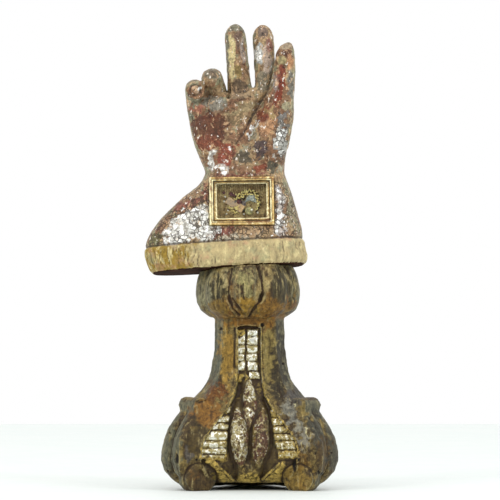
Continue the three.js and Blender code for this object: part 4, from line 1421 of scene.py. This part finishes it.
    # Woodworm holes and small splits: middle across and up, half width and half height
    HOLES = ((-71.6, 32, 1.1, 5), (33.3, 125, 0.9, 0.9), (71.6, 16.5, 1.2, 1.8), (-52.5, 31, 0.9, 0.9),
             (64.9, 37.2, 0.8, 0.8), (44.4, 24.5, 1.5, 7), (81.3, 37, 0.7, 0.7), (-79.3, 56.8, 0.6, 0.6),
             (48.8, 31, 0.7, 0.9), (-81, 18.5, 0.7, 0.7), (68.2, 18.9, 0.7, 1.6), (12.6, 163.4, 1.6, 1.6),
             (-28.6, 159.6, 1.1, 0.9))
    STAINS_AND_LIGHT = stains_and_light(
        # Knop; the dark patches at -32.5 and 34 across are a painted shadow in the left lobe's hollow and
        # painted shade on the right lobe
        ("#7c775a", -50, 200, 15, 20, 0, 0.8), ("#2c2714", -32.5, 199, 6, 13, 0, 1.4),
        ("#827b4e", -4, 206, 9, 15, 0, 0.85), ("#82641f", -3, 184, 9, 10),
        ("#6f5721", -34, 181, 14, 8), ("#70501a", 22, 182, 17, 9),
        ("#8c7f58", -24, 206, 3.4, 13, 0, 0.9), ("#7d6c42", 18, 208, 4, 14, 0, 0.9),
        ("#6e4817", 42, 184, 6, 8, 0, 0.9), ("#3a3219", 34, 204, 13, 20),
        # Stem; the dark patch at 28.6 across is a painted shadow on the right chamfer
        ("#78521a", -2, 166, 26, 6), ("#8a6c2c", -22, 130, 6, 36),
        ("#7a6b3a", 17.5, 130, 6, 36, 0, 0.9), ("#2c2618", 28.6, 125, 7, 42, 0, 1.3),
        ("#505345", -33, 130, 2.6, 40, 0, 0.8), ("#61390f", -34, 95, 10, 11, 0, 1.05),
        # Flanks; the grey patches at 41 and 54 across are painted sheen on the right flank, and the dark one
        # at 66 across is painted shade in the valley beside it
        ("#754f1a", -41, 77, 17, 15, -20, 1.05), ("#392c12", -53, 52, 12, 17),
        ("#48433f", -61, 34, 4.8, 12), ("#4f4f3d", -78, 44, 7, 28, 0, 0.8),
        ("#49453f", 44, 92, 10, 9), ("#737165", 41, 73, 8, 16, 32),
        ("#6d695d", 54, 52, 5, 14), ("#624718", 50, 27, 9, 9),
        ("#493719", 74, 36, 8, 20), ("#3b3a30", 66, 62, 6, 22, 0, 0.95),
        # Rolls and the foot of the panel
        ("#423219", -50, 12, 16, 15), ("#694617", -53, 14, 5, 4),
        ("#7c642b", 46, 13, 15, 14, 0, 1.1), ("#714f1a", 52, 8, 6, 5),
        ("#715f20", -26, 20, 9, 8, 0, 0.8), ("#715f20", 24, 17, 9, 8, 0, 0.8),
        ("#766425", -1, 10, 13, 7, 0, 0.9), ("#3c392e", 84, 44, 5, 32, 0, 0.9),
    )
    # Painted pale highlights where the light catches the wax on rubbed edges
    GLINTS = ovals(
        (44.5, 86, 2.2, 5, 6, 0.6), (56.5, 58, 1.6, 8, 12, 0.6), (58, 48, 1.4, 6, 6, 0.4),
        (50, 70, 1.6, 6, 30, 0.35), (-66.6, 40, 1.2, 16, 0, 0.4), (12, 70, 1.4, 8, -6, 0.5),
    )
    GILT = ovals(
        (-6, 111, 5, 4.5, -30, 1.2), (-8.4, 156, 4, 3, 0, 1.2), (0, 12, 15, 8, 0, 0.8),
        (25, 17, 8, 8, 0, 0.8), (-42, 27, 8, 6, 0, 0.5), (9, 100, 3, 8, 0, 0.8), (4, 56, 3, 20, 0, 0.8),
        (-30, 34, 12, 8, 0, 0.7), (30, 34, 9, 5, 0, 0.6),
    )
    # Ends of the left column of short ribs, where the silver is gone
    WORN_ENDS = ovals((-8.4, 156, 5, 4), (-7, 111, 7, 6))

    def build(self) -> bpy.types.Object:
        """Grows the piece over its CAD solid, carves it and dresses it.

        Returns:
            The finished piece.
        """
        carving = Carving("stand", "carved_stand", self.voxel)
        self.soften(carving)
        self.carve(carving)
        self.paint(carving)
        dress(carving.piece, StainedWood().make())
        return settle(carving.piece, "stained_wood", "stand")

    def faces(self, points: np.ndarray) -> tuple[np.ndarray, np.ndarray, np.ndarray]:
        """Place of each point on the foot's three faces.

        Args:
            points: The points.

        Returns:
            The number of its face, nought at the front, how far across it lies there and how far out.
        """
        face = np.round((np.degrees(np.arctan2(points[:, 1], points[:, 0])) + 90) / 120) % 3
        angle = np.radians(-90 + face * 120)
        out = points[:, 0] * np.cos(angle) + points[:, 1] * np.sin(angle)
        across = points[:, 1] * np.cos(angle) - points[:, 0] * np.sin(angle)
        return face, across, out

    def floor(self, height: np.ndarray) -> np.ndarray:
        """How far out the sunk floor of a panel lies.

        Args:
            height: Heights to read.

        Returns:
            The distance from the foot's axis at each height.
        """
        width = tabled(self.CONSOLE, height)
        corner = (tabled(self.HALF_WIDTH, height) - width * 0.25) / math.cos(math.pi / 6)
        return corner * 0.5 + width * math.cos(math.pi / 6) / 2 - tabled(self.TUCK, height) - self.panel_depth

    def in_panel(self, points: np.ndarray, margin: float) -> np.ndarray:
        """Where a point is inside a panel.

        Args:
            points: The points.
            margin: How far past the panel's rim the soft edge lies.

        Returns:
            One inside, nought outside.
        """
        _, across, out = self.faces(points)
        up = points[:, 2]
        inside = soft_step(tabled(self.PANEL, up) + margin - np.abs(across), -1, 1)
        above = soft_step(up, self.underside - 1, self.underside + 1)
        below = fade(up, self.panel_top - 1, self.panel_top + 1)
        return inside * above * below * (out > self.floor(up) - 3)

    def on_rolls(self, points: np.ndarray) -> np.ndarray:
        """How far each point is from the middle of the nearer roll's end.

        Args:
            points: The points.

        Returns:
            One at the edge of the roll's end, less inside, and more than one elsewhere.
        """
        across, y, up = points.T
        spread = [np.hypot((across - x) / half, (up - z) / tall) for x, z, half, tall in self.ROLLS]
        return np.where(y < -35, np.min(spread, axis=0), FAR)

    def upper_ribs(self, across: np.ndarray, up: np.ndarray) -> np.ndarray:
        """Height of the two columns of short ribs above the petals.

        Args:
            across: Distance of each point from the panel's middle.
            up: Its height.

        Returns:
            Their height above the panel's floor.
        """
        joints = self.UPPER_JOINTS
        crown = 3.0 * np.abs(np.sin(math.pi * np.interp(up, joints, np.arange(len(joints))))) ** 0.4
        left = fade(np.abs(across + 8.3), 2.8, 3.8) * soft_step(up, 117, 118.6)
        middle = 2.6 + np.interp(up, [109, 122], [3.4, 0])
        right = fade(np.abs(across - middle), 4.6, 5.8)
        return crown * np.maximum(left, right) * (up > joints[0]) * (up < joints[-1])

    def relief(self, across: np.ndarray, up: np.ndarray) -> np.ndarray:
        """Height of the front panel's ribs, petals, ridges and hollows.

        Args:
            across: Distance of each point from the panel's middle.
            up: Its height.

        Returns:
            Their height above the panel's floor.
        """
        raised = self.upper_ribs(across, up)
        for part in self.BANKS + self.PETALS:
            raised = np.maximum(raised, part.on(across, up))
        flat = np.stack([across, up], 1)
        for path, height, half_width, power in self.RIDGES:
            raised = np.maximum(raised, height * soft_band(near_path(flat, path), 0, half_width, power))
        for path in self.SUNK:
            bell = self.sunk_depth * soft_band(near_path(flat, path), 0, 2.6)
            raised = raised - bell * fade(raised, 0.5, 3)
        return raised

    def soften(self, c: Carving) -> None:
        """Rounds the flat facets off, least in the panels and on the rolls.

        Args:
            c: The carving.
        """
        up = c.points[:, 2]
        panel = self.in_panel(c.points, 4.4)
        knop = soft_step(up, self.knop_bottom - 1, self.knop_bottom + 2)
        rest = fade(self.seat.above(c.points), -1.6, -0.4) * soft_step(up, 0.3, 1.2)
        c.relax((1 - panel) * (1 - knop) * rest * (1 - 0.6 * fade(up, 22, 30)), self.body_turns)
        c.relax(knop * rest, self.knop_turns)
        c.relax(panel * rest, self.panel_turns)

    def recut(self, c: Carving) -> None:
        """Cuts the front panel anew in one go, and draws the front corners in at the ground.

        Args:
            c: The carving.
        """
        face, across, _ = self.faces(c.points)
        up = c.points[:, 2]
        relief = self.relief(across + 0.7 * c.clouds(9, 31.0), up + 0.6 * c.clouds(6, 32.0))
        target = self.floor(up) + relief * (1 + 0.25 * c.clouds(8, 33.0))
        share = self.in_panel(c.points, -0.8) * (face == 0) * soft_step(-c.normals[:, 1], -0.2, 0.2)
        share = share * soft_step(self.on_rolls(c.points), 1.0, 1.08)
        c.points[:, 1] += share * (-target - c.points[:, 1])
        past = np.maximum(np.abs(c.points[:, 0]) - self.ground_half - self.ground_slope * up, 0)
        c.points[:, 0] -= 0.85 * past * (up < self.ground_height) * np.sign(c.points[:, 0])
        c.write()
        c.relax(share * 0.5, 1)

    def carve(self, c: Carving) -> None:
        """Recuts the front panel, the knop's grooves and the rolls, and gives the wood its uneven face.

        Args:
            c: The carving.
        """
        up = c.points[:, 2].copy()
        self.recut(c)
        c.cut(self.KNOP_CUTS + self.STEM_CUTS, 0.8 * c.clouds(7, 34.0))
        spread = self.on_rolls(c.points)
        ring = 1.2 * (1 - np.clip(spread, 0, 1) ** 2) - 1.1 * soft_band(spread, 1.07, 0.06)
        c.push((spread < 1.4) * ring * c.front() * soft_step(c.points[:, 2], 0.3, 2))
        rest = fade(self.seat.above(c.points), -2, -0.6) * soft_step(up, 0.6, 3)
        c.push(c.layered(((0.5, 15, 35.0), (0.25, 5.5, 36.0), (0.2, 3, 37.0, 5.0))) * rest)
        c.push(-self.hole_depth * self.holes(c.points) * c.front())

    def holes(self, points: np.ndarray) -> np.ndarray:
        """Where a point is in a woodworm's hole or a small split of the front.

        Args:
            points: The points.

        Returns:
            One in a hole, nought outside.
        """
        across, _, up = points.T
        distance = [np.hypot((across - x) / (w + 0.5), (up - z) / (h + 0.5)) for x, z, w, h in self.HOLES]
        return fade(np.min(distance, axis=0), 0.55, 1.15)

    def paint(self, c: Carving) -> None:
        """Stores where the finishes lie.

        Args:
            c: The carving.
        """
        x, _, up = c.points.T
        front = c.front()
        panel = self.paint_panel(c)
        c.stain_and_light(c.strayed(7.0), self.STAINS_AND_LIGHT, front * (1 - 0.8 * panel * (up > 24)))
        knop_foot = 0.55 * soft_step(up, 164, 172) * fade(up, 184, 206) * fade(np.abs(x), 34, 46)
        stem_front = 0.35 * soft_step(up, 96, 112) * fade(np.abs(x), 22, 28)
        aside = soft_step(np.abs(c.normals[:, 0]), 0.45, 0.75)
        behind = 0.3 * soft_step(up, 196, 214) + 0.3 * (c.normals[:, 1] > 0.2)
        flat = c.strayed(1.6)[:, [0, 2]]
        worn = 0.75 + 0.5 * c.clouds(5, 46.0, 2.0)
        # Painted shade along the bottoms of the knop's grooves, uneven in strength
        deep = [strength * worn * fade(near_path(flat, cut.path), 0, cut.half_width * 0.85)
                for cut, strength in zip(self.KNOP_CUTS, self.KNOP_GROOVE_SHADES)]
        c.paint(glint=patches(c.strayed(3.0), self.GLINTS) * front,
                warm=np.maximum(knop_foot, stem_front) * front
                + 0.4 * (1 - front) * soft_step(c.clouds(40, 42.0), 0, 0.4),
                streaks=soft_step(up, 182, 200) * 0.9,
                # Painted sheen where the surface turns sideways, and grey on the knop's top and the back
                grey=np.maximum(0.75 * aside, behind),
                # Ridges, which get painted highlights
                edge=-c.hollows(6, 0.6),
                deep=np.max(deep, axis=0) * front,
                # Painted shade inside the holes
                hole=self.holes(c.points) * front)

    def paint_panel(self, c: Carving) -> np.ndarray:
        """Stores where the silver, the gilding, and the grime and painted shade of the panels lie.

        Args:
            c: The carving.

        Returns:
            One for each point in a panel, nought for the others.
        """
        up = c.points[:, 2]
        face, across, out = self.faces(c.points)
        raised = out - self.floor(up)
        off_rolls = soft_step(self.on_rolls(c.points), 1.0, 1.1)
        panel = self.in_panel(c.points, 0.4) * off_rolls
        is_front = np.where(face == 0, 1.0, self.side_panel_leaf)
        past_edge = np.abs(across) - tabled(self.PANEL, up)
        lines = soft_band(past_edge, 0.8, 0.6) + 0.7 * soft_band(past_edge, 2.6, 0.6)
        rim = self.in_panel(c.points, 4.2) * off_rolls * lines
        on_petals = [fade(np.abs(part.side_share(across, up)[0]), 0.9, 1.1) for part in self.PETALS]
        petal = np.max(on_petals, axis=0) * panel * (face == 0)
        rib = panel * soft_step(raised, 0.9, 2.0) * (1 - petal)
        silvered = np.where(up > 105, 1.35, 0.76) * soft_step(up, 28, 36) * np.where(across > 15, 0.74, 1.0)
        silvered = (silvered + 0.2 * c.clouds(9, 43.0)) * (1 - patches(c.points, self.WORN_ENDS))
        worn_petal = np.where(up > 88, 0.66, np.where(across < 0, 0.56, 0.44)) + 0.3 * c.clouds(7, 44.0)
        gilded = is_front * (rim * 0.8 + panel * 0.45 + rib * 0.5)
        # The sunk floor darkens away from the raised relief, with grime and painted shade
        floor_grime_and_shade = panel * fade(raised, -0.6, 1.8) * 0.7 * np.where(face == 0, 1.0, 0.5)
        hollow = np.maximum(c.hollows(3, 0.28), c.hollows(14, 1.2) * 0.9)
        c.paint(leaf=is_front * (rib * silvered + petal * worn_petal * soft_step(up, 22, 30)),
                gilt=np.maximum(gilded, patches(c.points, self.GILT) * c.front()),
                plum=petal * 0.75 * soft_step(up, 20, 28),
                hollow=np.maximum(hollow, floor_grime_and_shade))
        return panel


@dataclass
class Window:
    """The gilt frame let into the sleeve, and its pane."""

    place: WindowPlace = field(default_factory=WindowPlace)
    voxel: float = 0.5
    let_in: float = 3.6

    # Distance in from the outer edge, depth and half width
    GROOVES = ((2.5, 0.45, 0.6), (4.5, 0.9, 0.9), (6.2, 0.5, 0.6))

    def build(self) -> bpy.types.Object:
        """Makes the frame and dresses the pane.

        Returns:
            The finished frame.
        """
        c = Carving("window_frame", "moulded_window_frame", self.voxel)
        c.relax(np.ones(len(c.points)), 2)
        local = self.place.local(c.points)
        inward = self.place.inward(local) + 0.25 * c.clouds(9, 51.0)
        visible = fade(local[:, 1], self.let_in, self.let_in + 0.6)
        for middle, depth, half_width in self.GROOVES:
            c.push(groove(np.abs(inward - middle), depth, half_width) * visible)
        c.push(c.layered(((0.28, 7, 52.0), (0.14, 2.4, 53.0))) * visible)
        self.paint(c, local, inward)
        dress(c.piece, Gilding().make())
        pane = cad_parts["window_glass"]
        pane.data.materials.clear()
        pane.data.materials.append(PaneGlass().make())
        log.info("dressed the pane")
        return settle(c.piece, "gilt_wood", "window_frame")

    def paint(self, c: Carving, local: np.ndarray, inward: np.ndarray) -> None:
        """Stores where the frame has grime and painted shade, where it is rubbed and where it gets painted
        highlights.

        Args:
            c: The carving.
            local: Its points in the window's own axes, before the grooves.
            inward: How far in from the outer edge they lie.
        """
        across, back, up = local.T
        half = self.place.height / 2
        # Painted shadow under the top bar
        under_top = soft_step(up, 12, 15) * soft_step(inward, 4.6, 5.4)
        top = soft_step(up, half - 6, half - 3)
        low = soft_step(-up, half - 7, half - 5)
        ends = soft_step(np.abs(across), 24, 26)
        bars = fade(np.abs(inward - 7.0), 0.3, 1.0) + ends * fade(np.abs(inward - 3.4), 0.4, 1.2)
        # Grime and painted shade in the grooves, painted shade where the frame is let in and under the top
        # bar
        c.paint(hollow=c.hollows(5, 0.22) + 0.7 * soft_step(back, 3.2, 4.4) + 0.75 * under_top,
                edge=-c.hollows(4, 0.2),
                outer=fade(inward, 1.6, 3.4) * (0.35 + 0.65 * top) + 0.7 * low * (inward > 2.2),
                # Painted highlights along the bars and at the left edge
                lit=bars + soft_step(-across, 29.5, 31))


@dataclass
class Relics:
    """What lies behind the pane: the lined bed, a paper strip, a stone, a lump of resin and gilt thread."""

    place: WindowPlace = field(default_factory=WindowPlace)
    thread_radius: float = 0.62
    curl_pitch: float = 3.7
    curl_radius: float = 1.2
    curl_depth: float = 0.4
    points_per_curl: int = 7
    paper_thickness: float = 0.35
    paper_bow: float = 0.9
    paper_ripple: float = 0.35
    paper_lift: float = 0.3

    # Paths of the gilt threads, in the window's own axes
    UPPER = ((-7.4, 8.6, 2.4), (-3, 7.6, 4.2), (0.8, 6.8, 4.6), (2.4, 6.5, 6.2), (3.8, 6.4, 8.2),
             (5.2, 6.4, 8.8), (6.4, 6.4, 7.4), (7.6, 6.4, 6.6), (8.8, 6.4, 7.8), (9.8, 6.6, 7.0),
             (10.4, 7.2, 5.0))
    RIGHT = ((12.6, 6.8, 7.6), (14.4, 6.8, 6.6), (15.6, 7, 5), (14.6, 7.3, 3.2), (16, 7.4, 1.4),
             (17.4, 7.4, -1.6), (15.8, 7.6, -3.4), (16.4, 7.7, -5), (14.8, 7.6, -6.6), (13.4, 7.6, -8.6))
    LOWER = ((-8.6, 10.2, -6.6), (-7, 9.4, -4.8), (-5.6, 9.6, -7), (-4, 9.3, -5.2), (-2.4, 9.6, -7.6),
             (-0.6, 9.3, -6.2), (1.0, 9.8, -8.2))
    LEFT = ((-13, 10.4, -4), (-11, 9.6, -6.4), (-9, 9.8, -9), (-6, 9.8, -10.6), (-2.6, 10.2, -10.4))
    BACK = ((-9, 10.6, 8.2), (-5, 10.0, 6.6), (-1, 10.4, 7.8), (3, 10.2, 11), (8, 10.4, 11.4),
            (12, 10.4, 10.4), (15, 10.4, 8.4))
    # Middles of the beads and of the silk scraps in the same axes, and their radii
    BEADS = ((-15.2, 10.6, -11.8, 1.0), (2.0, 10.6, -12.2, 0.9), (17.2, 10.4, 0.4, 0.7),
             (-16.4, 10.4, 5.4, 1.1), (-17.4, 10.6, 0.6, 1.2), (15.8, 10.4, -11.0, 1.1),
             (9.8, 8.2, -8.4, 1.2), (-13.8, 10.6, -8.4, 0.8))
    SCRAPS = ((-10.4, 10.2, 8.0, 2.2), (-7.6, 10.2, 6.6, 1.6), (-2.4, 10.0, 0.2, 2.6),
              (-17.6, 10.8, 9.6, 1.6))
    # Lower and upper corner of a paper strip's left and right end, across and up, and how far in it lies
    STRIP = (((-17.2, -0.6), (-12.9, 5.4)), ((-1.0, -11.4), (3.4, -4.8)), 10.4)
    GREY_STRIP = (((-8.6, -0.6), (-7.0, 2.6)), ((3.6, -4.6), (4.6, 0.6)), 11.2)

    def build(self) -> list[bpy.types.Object]:
        """Makes everything in the niche.

        Returns:
            The finished pieces.
        """
        stone = Mottled("blue_grey_stone", "#a3a79a", "#6f7876", "#cfd1ba", 5.0, 0.45, 0.15, 0.2)
        resin = Mottled("cloudy_resin", "#a39b66", "#7c764c", "#e6dc8e", 3.2, 0.35, 0.15, 0.5)
        silk = Mottled("dark_red_silk", "#5a2c26", "#43262c", "#8a4a3c", 1.8, 0.6, 0.2)
        glass = Mottled("seed_beads", "#cfc9b8", "#e8e4d6", "#9a8e78", 1.5, 0.25, 0.05, 0.6)
        rag = Mottled("old_rag_paper", "#cdab7c", "#a28e78", "#8a7258", 10.0, 0.8, 0.1)
        grey = Mottled("grey_rag_paper", "#6f655f", "#57504f", "#8f8378", 4.0, 0.8, 0.1)
        gilt = GiltMetal().make()
        on_stone, on_resin = ((0.35, 4, 63.0), (0.12, 1.4, 64.0)), ((0.4, 3.4, 65.0), (0.15, 1.3, 66.0))
        pieces = [
            self.bed(),
            self.nugget("relic_stone", "blue_grey_stone", "blue_stone", 0.32, 6, on_stone, stone),
            self.nugget("relic_lump", "resin_lump", "resin_lump", 0.3, 8, on_resin, resin),
            self.grains("red_silk_scraps", "mottled_cloth", self.SCRAPS, 0.4, silk),
            self.grains("seed_beads", "resin_lump", self.BEADS, 0.8, glass),
            self.strip("paper_strip", *self.STRIP, rag, "relic_strip"),
            self.strip("grey_paper_scrap", *self.GREY_STRIP, grey),
        ]
        threads = {"upper": (self.UPPER, "gold_wire_upper"), "right": (self.RIGHT, "gold_wire_right"),
                   "lower": (self.LOWER,), "left": (self.LEFT,), "back": (self.BACK,)}
        for name, (path, *nodes) in threads.items():
            pieces.append(self.thread("gilt_thread_" + name, path, gilt, *nodes))
        return pieces

    def bed(self) -> bpy.types.Object:
        """Crumpled cloth lining on its board, with painted shadows below and beside the threads and painted
        shade in its creases.

        Returns:
            The finished piece.
        """
        c = Carving("relic_bed", "lined_bed", 0.55)
        local = self.place.local(c.points)
        front = (local[:, 1] < self.place.bed_front + 1.0).astype(float)
        pleats = 0.35 * np.sin(local[:, 0] * 2.6 + 2.0 * c.clouds(6, 60.0)) * soft_step(local[:, 2], 4, 9)
        c.push((c.layered(((0.5, 5, 61.0), (0.3, 1.8, 62.0))) + pleats) * front)
        beside = [near_path(local[:, [0, 2]], np.array(path)[:, [0, 2]] + (0.9, -0.9))
                  for path in (self.UPPER, self.RIGHT, self.LOWER, self.BACK)]
        shadow = fade(np.min(beside, axis=0) + 1.2 * c.clouds(2.4, 67.0), 0.6, 2.2)
        # Painted shadows of the threads and painted shade in the creases
        c.paint(hollow=np.maximum(shadow, c.hollows(6, 0.5)))
        dress(c.piece, Mottled("mottled_old_silk", "#c2ab76", "#8a7148", "#3a2a1c", 6.0, 0.85, 0.3).make())
        return settle(c.piece, "mottled_cloth", "relic_bed")

    def nugget(self, node: str, name: str, slot: str, voxel: float, turns: int,
               layers: Rows, stuff: Mottled) -> bpy.types.Object:
        """Rubbed, uneven chip or lump grown over a CAD solid.

        Args:
            node: CAD node that it stands for.
            name: Name of the piece.
            slot: Its material slot.
            voxel: Width of a face of its fine mesh.
            turns: How far it is rubbed round.
            layers: Clouds that make it uneven.
            stuff: Its finish.

        Returns:
            The finished piece.
        """
        c = Carving(node, name, voxel)
        c.relax(np.ones(len(c.points)), turns)
        c.push(c.layered(layers))
        dress(c.piece, stuff.make())
        return settle(c.piece, slot, node)

    def grains(self, name: str, slot: str, places: Rows, flat: float,
               stuff: Mottled) -> bpy.types.Object:
        """Small rounded, uneven grains scattered on the bed.

        Args:
            name: Name of the piece.
            slot: Its material slot.
            places: Middle and radius of each grain.
            flat: Depth of a grain as a share of its width.
            stuff: Its finish.

        Returns:
            The finished piece.
        """
        shape = bmesh.new()
        for *middle, radius in places:
            spot = Vector(middle)
            for vert in bmesh.ops.create_icosphere(shape, subdivisions=2, radius=1.0)["verts"]:
                bump = 1 + 0.18 * noise.noise(vert.co * 1.7 + spot)
                local = Vector((vert.co.x, vert.co.y * flat, vert.co.z)) * radius * bump
                vert.co = self.place.placed(spot + local)
        piece = new_piece(name, shape)
        dress(piece, stuff.make())
        return settle(piece, slot)

    def strip(self, name: str, left: Rows, right: Rows,
              inward: float, paper: Mottled, *nodes: str) -> bpy.types.Object:
        """Curling strip of old paper.

        Args:
            name: Name of the piece.
            left: Lower and upper corner of its left end, across and up.
            right: Lower and upper corner of its right end.
            inward: How far behind the front it lies.
            paper: Its finish.
            *nodes: CAD nodes that it stands for.

        Returns:
            The finished piece.
        """
        shape = bmesh.new()
        bmesh.ops.create_grid(shape, x_segments=24, y_segments=8, size=0.5)
        for vert in shape.verts:
            u, v = vert.co.x + 0.5, vert.co.y + 0.5
            ends = [Vector(low).lerp(Vector(high), v) for low, high in (left, right)]
            spot = ends[0].lerp(ends[1], u)
            ripple = self.paper_ripple * math.sin(u * 9)
            curl = self.paper_bow * (2 * u - 1) ** 2 + ripple + self.paper_lift * v
            vert.co = self.place.placed((spot.x, inward - curl, spot.y))
        piece = new_piece(name, shape)
        wall = piece.modifiers.new("wall", "SOLIDIFY")
        wall.thickness = self.paper_thickness * MM
        wall.offset = 0
        with_modifiers_applied(piece)
        self.turn_outwards(piece)
        dress(piece, paper.make())
        return settle(piece, "pale_paper", *nodes)

    def turn_outwards(self, piece: bpy.types.Object) -> None:
        """Makes a closed piece's faces point outwards.

        Args:
            piece: The piece.
        """
        shape = bmesh.new()
        shape.from_mesh(piece.data)
        bmesh.ops.recalc_face_normals(shape, faces=shape.faces)
        shape.to_mesh(piece.data)
        shape.free()

    def curled(self, path: Rows) -> list[Vector]:
        """Points of a thread that curls round a path.

        Args:
            path: Corners in the window's own axes.

        Returns:
            The points in the same axes.
        """
        corners = np.array(path, float)
        way = way_along(corners)
        count = int(way[-1] / self.curl_pitch * self.points_per_curl) + 1
        places = np.linspace(0, way[-1], count)
        line = np.stack([np.interp(places, way, corners[:, axis]) for axis in range(3)], 1)
        along = np.gradient(line, axis=0)
        along /= np.linalg.norm(along, axis=1)[:, None]
        turn = 2 * math.pi * places / self.curl_pitch
        side = np.stack([-along[:, 2], np.zeros(count), along[:, 0]], 1)
        swing = side * np.cos(turn)[:, None] * self.curl_radius
        inward = np.array([0, 1, 0]) * (self.curl_depth * (1.6 + np.sin(turn)))[:, None]
        return [Vector(spot) for spot in line + swing + inward]

    def thread(self, name: str, path: Rows, gilt: bpy.types.Material,
               *nodes: str) -> bpy.types.Object:
        """Curled gilt thread through points of the window's own axes.

        Args:
            name: Name of the piece.
            path: Points that it passes.
            gilt: Its finish.
            *nodes: CAD nodes that it stands for.

        Returns:
            The finished piece.
        """
        curve = bpy.data.curves.new(name, "CURVE")
        curve.dimensions = "3D"
        curve.bevel_depth = self.thread_radius * MM
        curve.bevel_resolution = 2
        curve.resolution_u = 3
        curve.use_fill_caps = True
        spline = curve.splines.new("NURBS")
        curled = self.curled(path)
        spline.points.add(len(curled) - 1)
        spline.order_u = 3
        spline.use_endpoint_u = True
        for point, spot in zip(spline.points, curled):
            point.co = (*self.place.placed(spot), 1.0)
        line = put(name + "_line", curve)
        graph = bpy.context.evaluated_depsgraph_get()
        mesh = bpy.data.meshes.new_from_object(line.evaluated_get(graph))
        bpy.data.objects.remove(line)
        piece = put(name, mesh)
        self.turn_outwards(piece)
        dress(piece, gilt)
        return settle(piece, "gilt_wire", *nodes)


@dataclass
class Studio:
    """White table in a white room, soft lights, and the camera far off at the height of the foot's knop."""

    distance_mm: float = 4500.0
    eye_mm: float = 238.0
    middle_mm: float = 0.35
    image_mm: float = 500.0
    sensor_mm: float = 36.0
    table_behind_mm: float = 1656.0
    table_half_mm: float = 2600.0
    sight_m: float = 50.0
    lamp_m: float = 0.5
    lamp_watts: float = 12.0
    aim_m: float = 0.25
    front_light: float = 0.3
    ceiling_light: float = 1.3
    ceiling_spread: float = 75.0
    ceiling_turn: tuple = (32.0, 0.0, -14.0)

    def camera(self) -> None:
        """Level camera facing the palm, so far off that the picture is nearly free of perspective."""
        data = bpy.data.cameras.new("camera")
        data.sensor_width = self.sensor_mm
        data.lens = self.sensor_mm * self.distance_mm / self.image_mm
        data.clip_end = self.sight_m
        camera = put("camera", data)
        camera.location = ORIGIN + Vector((self.middle_mm, -self.distance_mm, self.eye_mm)) * MM
        camera.rotation_euler = (math.radians(90), 0, 0)
        bpy.context.scene.camera = camera

    def lamp(self, name: str, place: Sequence[float], colour: str) -> None:
        """Square soft light aimed at the middle of the object.

        Args:
            name: Name of the light.
            place: Where it stands, in metres from the object's foot.
            colour: Colour of the light.
        """
        data = bpy.data.lights.new(name, "AREA")
        data.size = self.lamp_m
        data.energy = self.lamp_watts
        data.color = linear(colour)[:3]
        light = put(name, data)
        light.location = place
        aim = Vector((0, 0, self.aim_m)) - light.location
        light.rotation_euler = aim.to_track_quat("-Z", "Y").to_euler()

    def ceiling(self) -> None:
        """Even soft light from overhead, a little from the front."""
        data = bpy.data.lights.new("ceiling", "SUN")
        data.energy = self.ceiling_light
        data.angle = math.radians(self.ceiling_spread)
        put("ceiling", data).rotation_euler = [math.radians(turn) for turn in self.ceiling_turn]

    def room(self) -> None:
        """Surroundings that are white behind and overhead and dimmer in front."""
        world = bpy.data.worlds.new("white_room")
        bpy.context.scene.world = world
        world.use_nodes = True
        tree = world.node_tree
        heading = add(tree, "ShaderNodeTexCoord").outputs["Generated"]
        behind = add(tree, "ShaderNodeSeparateXYZ", {0: heading}).outputs["Y"]
        limits = {0: behind, 1: -1.0, 2: 0.3, 3: self.front_light, 4: 1.0}
        strength = add(tree, "ShaderNodeMapRange", limits, interpolation_type="SMOOTHSTEP").outputs[0]
        feed(tree, tree.nodes["Background"], {"Color": linear("#ffffff"), "Strength": strength})

    def table(self) -> None:
        """White table top, with its back edge well behind the object."""
        shape = bmesh.new()
        bmesh.ops.create_grid(shape, x_segments=1, y_segments=1, size=1.0)
        half = self.table_half_mm * MM
        back = ORIGIN.y + self.table_behind_mm * MM
        bmesh.ops.scale(shape, verts=shape.verts, vec=(half, half, 1))
        bmesh.ops.translate(shape, verts=shape.verts, vec=(0, back - half, 0))
        table = new_piece("table_top", shape)
        dress(table, Mottled("painted_white_board", "#e4e9e6", "#e2e8e5", "#e6eae8", 60.0, 0.6, 0.02).make())

    def build(self) -> None:
        """Sets up the picture."""
        bpy.context.scene.view_settings.view_transform = "Standard"
        self.camera()
        self.room()
        self.table()
        self.ceiling()
        self.lamp("left", (-1.5, -1.5, 1.1), "#fffdf8")
        self.lamp("right", (1.5, -1.3, 0.9), "#fbfdff")


def main() -> None:
    """Builds the studio and the reliquary."""
    logging.basicConfig(level=logging.INFO, format="%(message)s")
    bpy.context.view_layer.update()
    for part in (Studio(), Stand(), HandAndSleeve(), Window(), Relics()):
        part.build()


if __name__ == "__main__":
    main()
